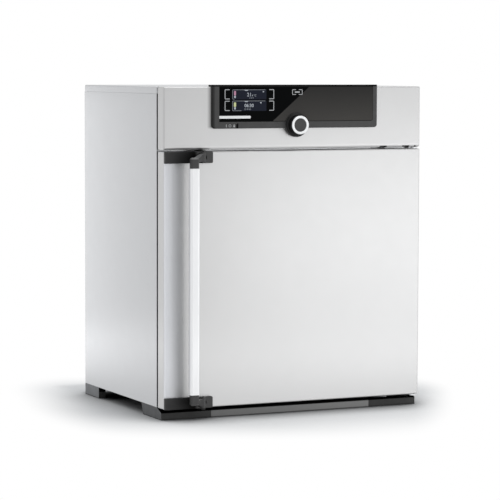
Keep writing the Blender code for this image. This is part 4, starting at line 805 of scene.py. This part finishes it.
def figures(name, look, text, place, height, weight):
    """Figures as a thin mesh, set by their lower left corner in mm."""
    curve = bpy.data.curves.new(name, "FONT")
    curve.body = text
    curve.size = 1.0
    curve.offset = weight
    curve.resolution_u = 4
    holder = bpy.data.objects.new(name, curve)
    bpy.context.scene.collection.objects.link(holder)
    bpy.context.view_layer.update()
    data = bpy.data.meshes.new_from_object(holder.evaluated_get(bpy.context.evaluated_depsgraph_get()))
    bpy.data.objects.remove(holder)
    low = Vector([min(v.co[k] for v in data.vertices) for k in range(3)])
    high = Vector([max(v.co[k] for v in data.vertices) for k in range(3)])
    size = height * MM / (high.y - low.y)
    left, foot = CORNER.x + place[0] * MM, CORNER.z + place[1] * MM
    for v in data.vertices:
        v.co = (left + (v.co.x - low.x) * size, CORNER.y - FIGURES[0] * MM, foot + (v.co.y - low.y) * size)
    mesh = bmesh.new()
    mesh.from_mesh(data)
    for face in mesh.faces:
        face.normal_update()
        if face.normal.y > 0:
            face.normal_flip()
    solid = bmesh.ops.extrude_face_region(mesh, geom=list(mesh.faces))
    moved = [item for item in solid["geom"] if isinstance(item, bmesh.types.BMVert)]
    bmesh.ops.translate(mesh, verts=moved, vec=(0, -FIGURE_DEPTH * MM, 0))
    bpy.data.meshes.remove(data)
    piece(name, mesh, look, "chassis")


def panel_print():
    film = bmesh.new()
    slab(film, FILM_OUTLINE, FILM)
    piece("screen_print", film, black_film(), "chassis")


def display_screens():
    """Two screens, each with a rim along its left side and its top that also turns in below."""
    left, right = SCREEN_SIDES
    screens = bmesh.new()
    rims = bmesh.new()
    for (low, high), start in zip(SCREEN_ROWS, RIM_STARTS):
        slab(screens, rounded_rectangle((left, low), (right, high), SCREEN_RADIUS), SCREENS)
        side, foot, top = left + RIM_SIDE, low + RIM_INSET, high - RIM_INSET
        lower, upper = RIM_CORNER_WIDTHS
        rim = [(start, foot), (side + lower, foot), (side, foot + RIM_CORNER_HEIGHT),
               (side, top - RIM_CORNER_HEIGHT), (side + upper, top), (right - RIM_END, top)]
        stroke(rims, rim, RIM_WIDTH, RIMS)
    piece("display_screens", screens, glow("display_blue", (0.0066, 0.0082, 0.0150), 0.40), "chassis")
    piece("display_rims", rims, glow("mark_grey", (0.21, 0.22, 0.24), 0.12), "chassis")


def key_marks():
    """Brackets beside the screens, the port's sign and the bare strip."""
    pale = glow("mark_white", (0.40, 0.405, 0.41), 0.05)
    keys = bmesh.new()
    for row in KEY_ROWS:
        for outer, inner in KEY_SIDES:
            stroke(keys, bracket(outer, inner, *row, KEY_CORNER), KEY_WIDTH, MARKS)
    piece("touch_key_marks", keys, pale, "chassis")

    port = bmesh.new()
    for outer, inner in PORT_SIDES:
        stroke(port, bracket(outer, inner, *PORT_ROW, PORT_CORNER), PORT_WIDTH, MARKS)
    slab(port, rounded_rectangle(*PORT_BAR), MARKS)
    piece("port_mark", port, pale, "chassis")

    strip = bmesh.new()
    slab(strip, rounded_rectangle(*STRIP, steps=6), MARKS)
    piece("label_strip", strip, glow("strip_white", (0.80, 0.80, 0.80)), "chassis")


def readings():
    bright = glow("figure_white", (0.34, 0.36, 0.39), 0.25)
    for name, reading in READINGS.items():
        figures(name, bright, *reading)
    dots = bmesh.new()
    for dot in DOTS:
        slab(dots, rounded_rectangle(*dot), FIGURES)
    left, right = TAB_SIDES
    for row in SCREEN_ROWS:
        foot, top = (row[1] - depth for depth in TAB_DEPTHS)
        slab(dots, [(left + TAB_SLANT, foot), (right - TAB_SLANT, foot), (right, top), (left, top)], FIGURES)
    piece("display_marks", dots, bright, "chassis")
    warm = bmesh.new()
    slab(warm, rounded_rectangle(*WARM_MARK), FIGURES)
    piece("display_mark_warm", warm, glow("mark_red", (0.40, 0.20, 0.28), 0.22), "chassis")
    fresh = bmesh.new()
    slab(fresh, rounded_rectangle(*FRESH_MARK), FIGURES)
    piece("display_mark_fresh", fresh, glow("mark_green", (0.46, 0.49, 0.25), 0.22), "chassis")


def switch_marks():
    """The signs beside the main switch, on the cockpit frame."""
    marks = bmesh.new()
    slab(marks, rounded_rectangle(*SWITCH_BAR), FRAME_MARKS)
    turns = [math.tau * k / SWITCH_RING_POINTS for k in range(SWITCH_RING_POINTS)]
    x, z = SWITCH_RING
    outer, inner = ([(x + radius * math.cos(turn), z + radius * math.sin(turn)) for turn in turns]
                    for radius in SWITCH_RING_RADII)
    for k in range(SWITCH_RING_POINTS):
        after = (k + 1) % SWITCH_RING_POINTS
        slab(marks, [outer[k], outer[after], inner[after], inner[k]], FRAME_MARKS)
    slab(marks, rounded_rectangle(*SWITCH_LOCK), FRAME_MARKS)
    stroke(marks, SWITCH_BOW, SWITCH_BOW_WIDTH, FRAME_MARKS)
    piece("switch_marks", marks, glow("mark_pale", (0.40, 0.40, 0.40)), "chassis")


# Fasteners

# A screw head's outline as shares of its radius and height, from the seat up to the rim of the recess.
HEAD_OUTLINE = [(1.0, -0.05), (1.0, 0.22), (0.95, 0.52), (0.83, 0.80), (0.66, 0.95)]
HEAD_HEIGHT = 0.62
RECESS_LEVELS = (1.0, 0.35)
RECESS_LENGTH = 0.52
RECESS_WIDTH = 0.13
HEAD_SIDES = 32
SHARP_ANGLE = math.radians(35)

# Each screw is turned further than the one before it by so much, in radians.
TURN_STEP = 0.9

# Radii of the screw heads.
PANEL_HEAD = 3.6 * MM
HINGE_HEAD = 3.2 * MM
PLATE_HEAD = 3.0 * MM
HOUSING_HEAD = 2.6 * MM
RAIL_HEAD = 1.8 * MM

BACKWARD = (0, 1, 0)
FORWARD = (0, -1, 0)


def screw(mesh, place, facing, radius, turn):
    """Pan head with a cross recess, standing on a face; place is the middle of its seat in metres."""
    turns = [math.tau * k / HEAD_SIDES for k in range(HEAD_SIDES)]

    def cross(angle):
        wide = max(abs(math.cos(angle)), abs(math.sin(angle)))
        thin = max(min(abs(math.cos(angle)), abs(math.sin(angle))), 0.001)
        return radius * min(RECESS_LENGTH / wide, RECESS_WIDTH / thin)

    height = HEAD_HEIGHT * radius
    rings = [[(share * radius * math.cos(t), share * radius * math.sin(t), level * height) for t in turns]
             for share, level in HEAD_OUTLINE]
    rings += [[(cross(t) * math.cos(t), cross(t) * math.sin(t), level * height) for t in turns]
              for level in RECESS_LEVELS]
    upright = Vector(facing).to_track_quat("Z", "Y").to_matrix() @ Matrix.Rotation(turn, 3, "Z")
    loops = [[mesh.verts.new(upright @ Vector(point) + Vector(place)) for point in ring] for ring in rings]
    for first, second in zip(loops, loops[1:]):
        for k in range(HEAD_SIDES):
            after = (k + 1) % HEAD_SIDES
            face = mesh.faces.new((first[k], first[after], second[after], second[k]))
            face.smooth = True
    mesh.faces.new(loops[0][::-1])
    mesh.faces.new(loops[-1])


def screws(name, body, facing, radius, places):
    mesh = bmesh.new()
    for index, place in enumerate(places):
        screw(mesh, place, facing, radius, TURN_STEP * index)
    made = piece(name, mesh, BRIGHT_STEEL, body)
    made.data.set_sharp_from_angle(angle=SHARP_ANGLE)


def spaced(low, high, count, inset=0.0):
    """Evenly spaced values between two ends, which are first moved in by an inset."""
    first, last = low + inset, high - inset
    return [first + (last - first) * k / (count - 1) for k in range(count)]


def around(low, high, inset, side_count, side_gap, end_count, end_gap):
    """Places along a panel's four edges on its back face: rows up its sides, then along its ends."""
    sides = [(x, high.y, z) for x in spaced(low.x, high.x, 2, inset)
             for z in spaced(low.z, high.z, side_count, side_gap)]
    ends = [(x, high.y, z) for z in spaced(low.z, high.z, 2, inset)
            for x in spaced(low.x, high.x, end_count, end_gap)]
    return sides + ends


def fasteners():
    low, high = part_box("rear_panel")
    screws("screws_rear_panel", "chassis", BACKWARD, PANEL_HEAD,
           around(low, high, inset=9 * MM, side_count=6, side_gap=18 * MM, end_count=4, end_gap=126 * MM))

    low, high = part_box("top_cover")
    skirt = high.z - 9 * MM
    screws("screws_top_cover", "chassis", BACKWARD, PANEL_HEAD,
           [(x, high.y, skirt) for x in spaced(low.x, high.x, 3, 40 * MM)])

    low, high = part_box("rear_housing")
    middle = (low + high) / 2
    for name, x, facing in (("screws_housing_left", low.x, -1), ("screws_housing_right", high.x, 1)):
        screws(name, "chassis", (facing, 0, 0), HOUSING_HEAD,
               [(x, middle.y, middle.z + rise) for rise in (-50 * MM, 50 * MM)])

    low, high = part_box("air_baffle")
    inset = 13 * MM
    screws("screws_air_baffle", "chassis", FORWARD, PLATE_HEAD,
           [(x, low.y, z) for x in spaced(low.x, high.x, 2, inset) for z in spaced(low.z, high.z, 3, inset)])

    low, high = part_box("hinge_plate_bottom")
    flange = high.y - 4 * MM
    screws("screws_hinge_bottom", "chassis", FORWARD, HINGE_HEAD,
           [(x, flange, high.z - 13 * MM) for x in (low.x + 10 * MM, high.x - 9 * MM)])
    low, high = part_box("striker_bottom")
    screws("screw_striker_bottom", "chassis", FORWARD, PLATE_HEAD,
           [((low.x + high.x) / 2, flange, high.z - 11 * MM)])

    low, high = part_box("door_liner")
    screws("screws_door_liner", "outer_door", BACKWARD, HINGE_HEAD,
           around(low, high, inset=17 * MM, side_count=5, side_gap=51 * MM, end_count=4, end_gap=68 * MM))

    low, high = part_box("glass_hinge_rail")
    screws("screws_glass_rail", "glass_door", FORWARD, RAIL_HEAD,
           [(low.x + 4.5 * MM, low.y, z) for z in spaced(low.z, high.z, 4, 20 * MM)])


make_camera()
make_world()
make_lights()
make_floor()
dress_nodes()
panel_print()
display_screens()
key_marks()
readings()
switch_marks()
fasteners()

bpy.context.scene.view_settings.view_transform = "Standard"
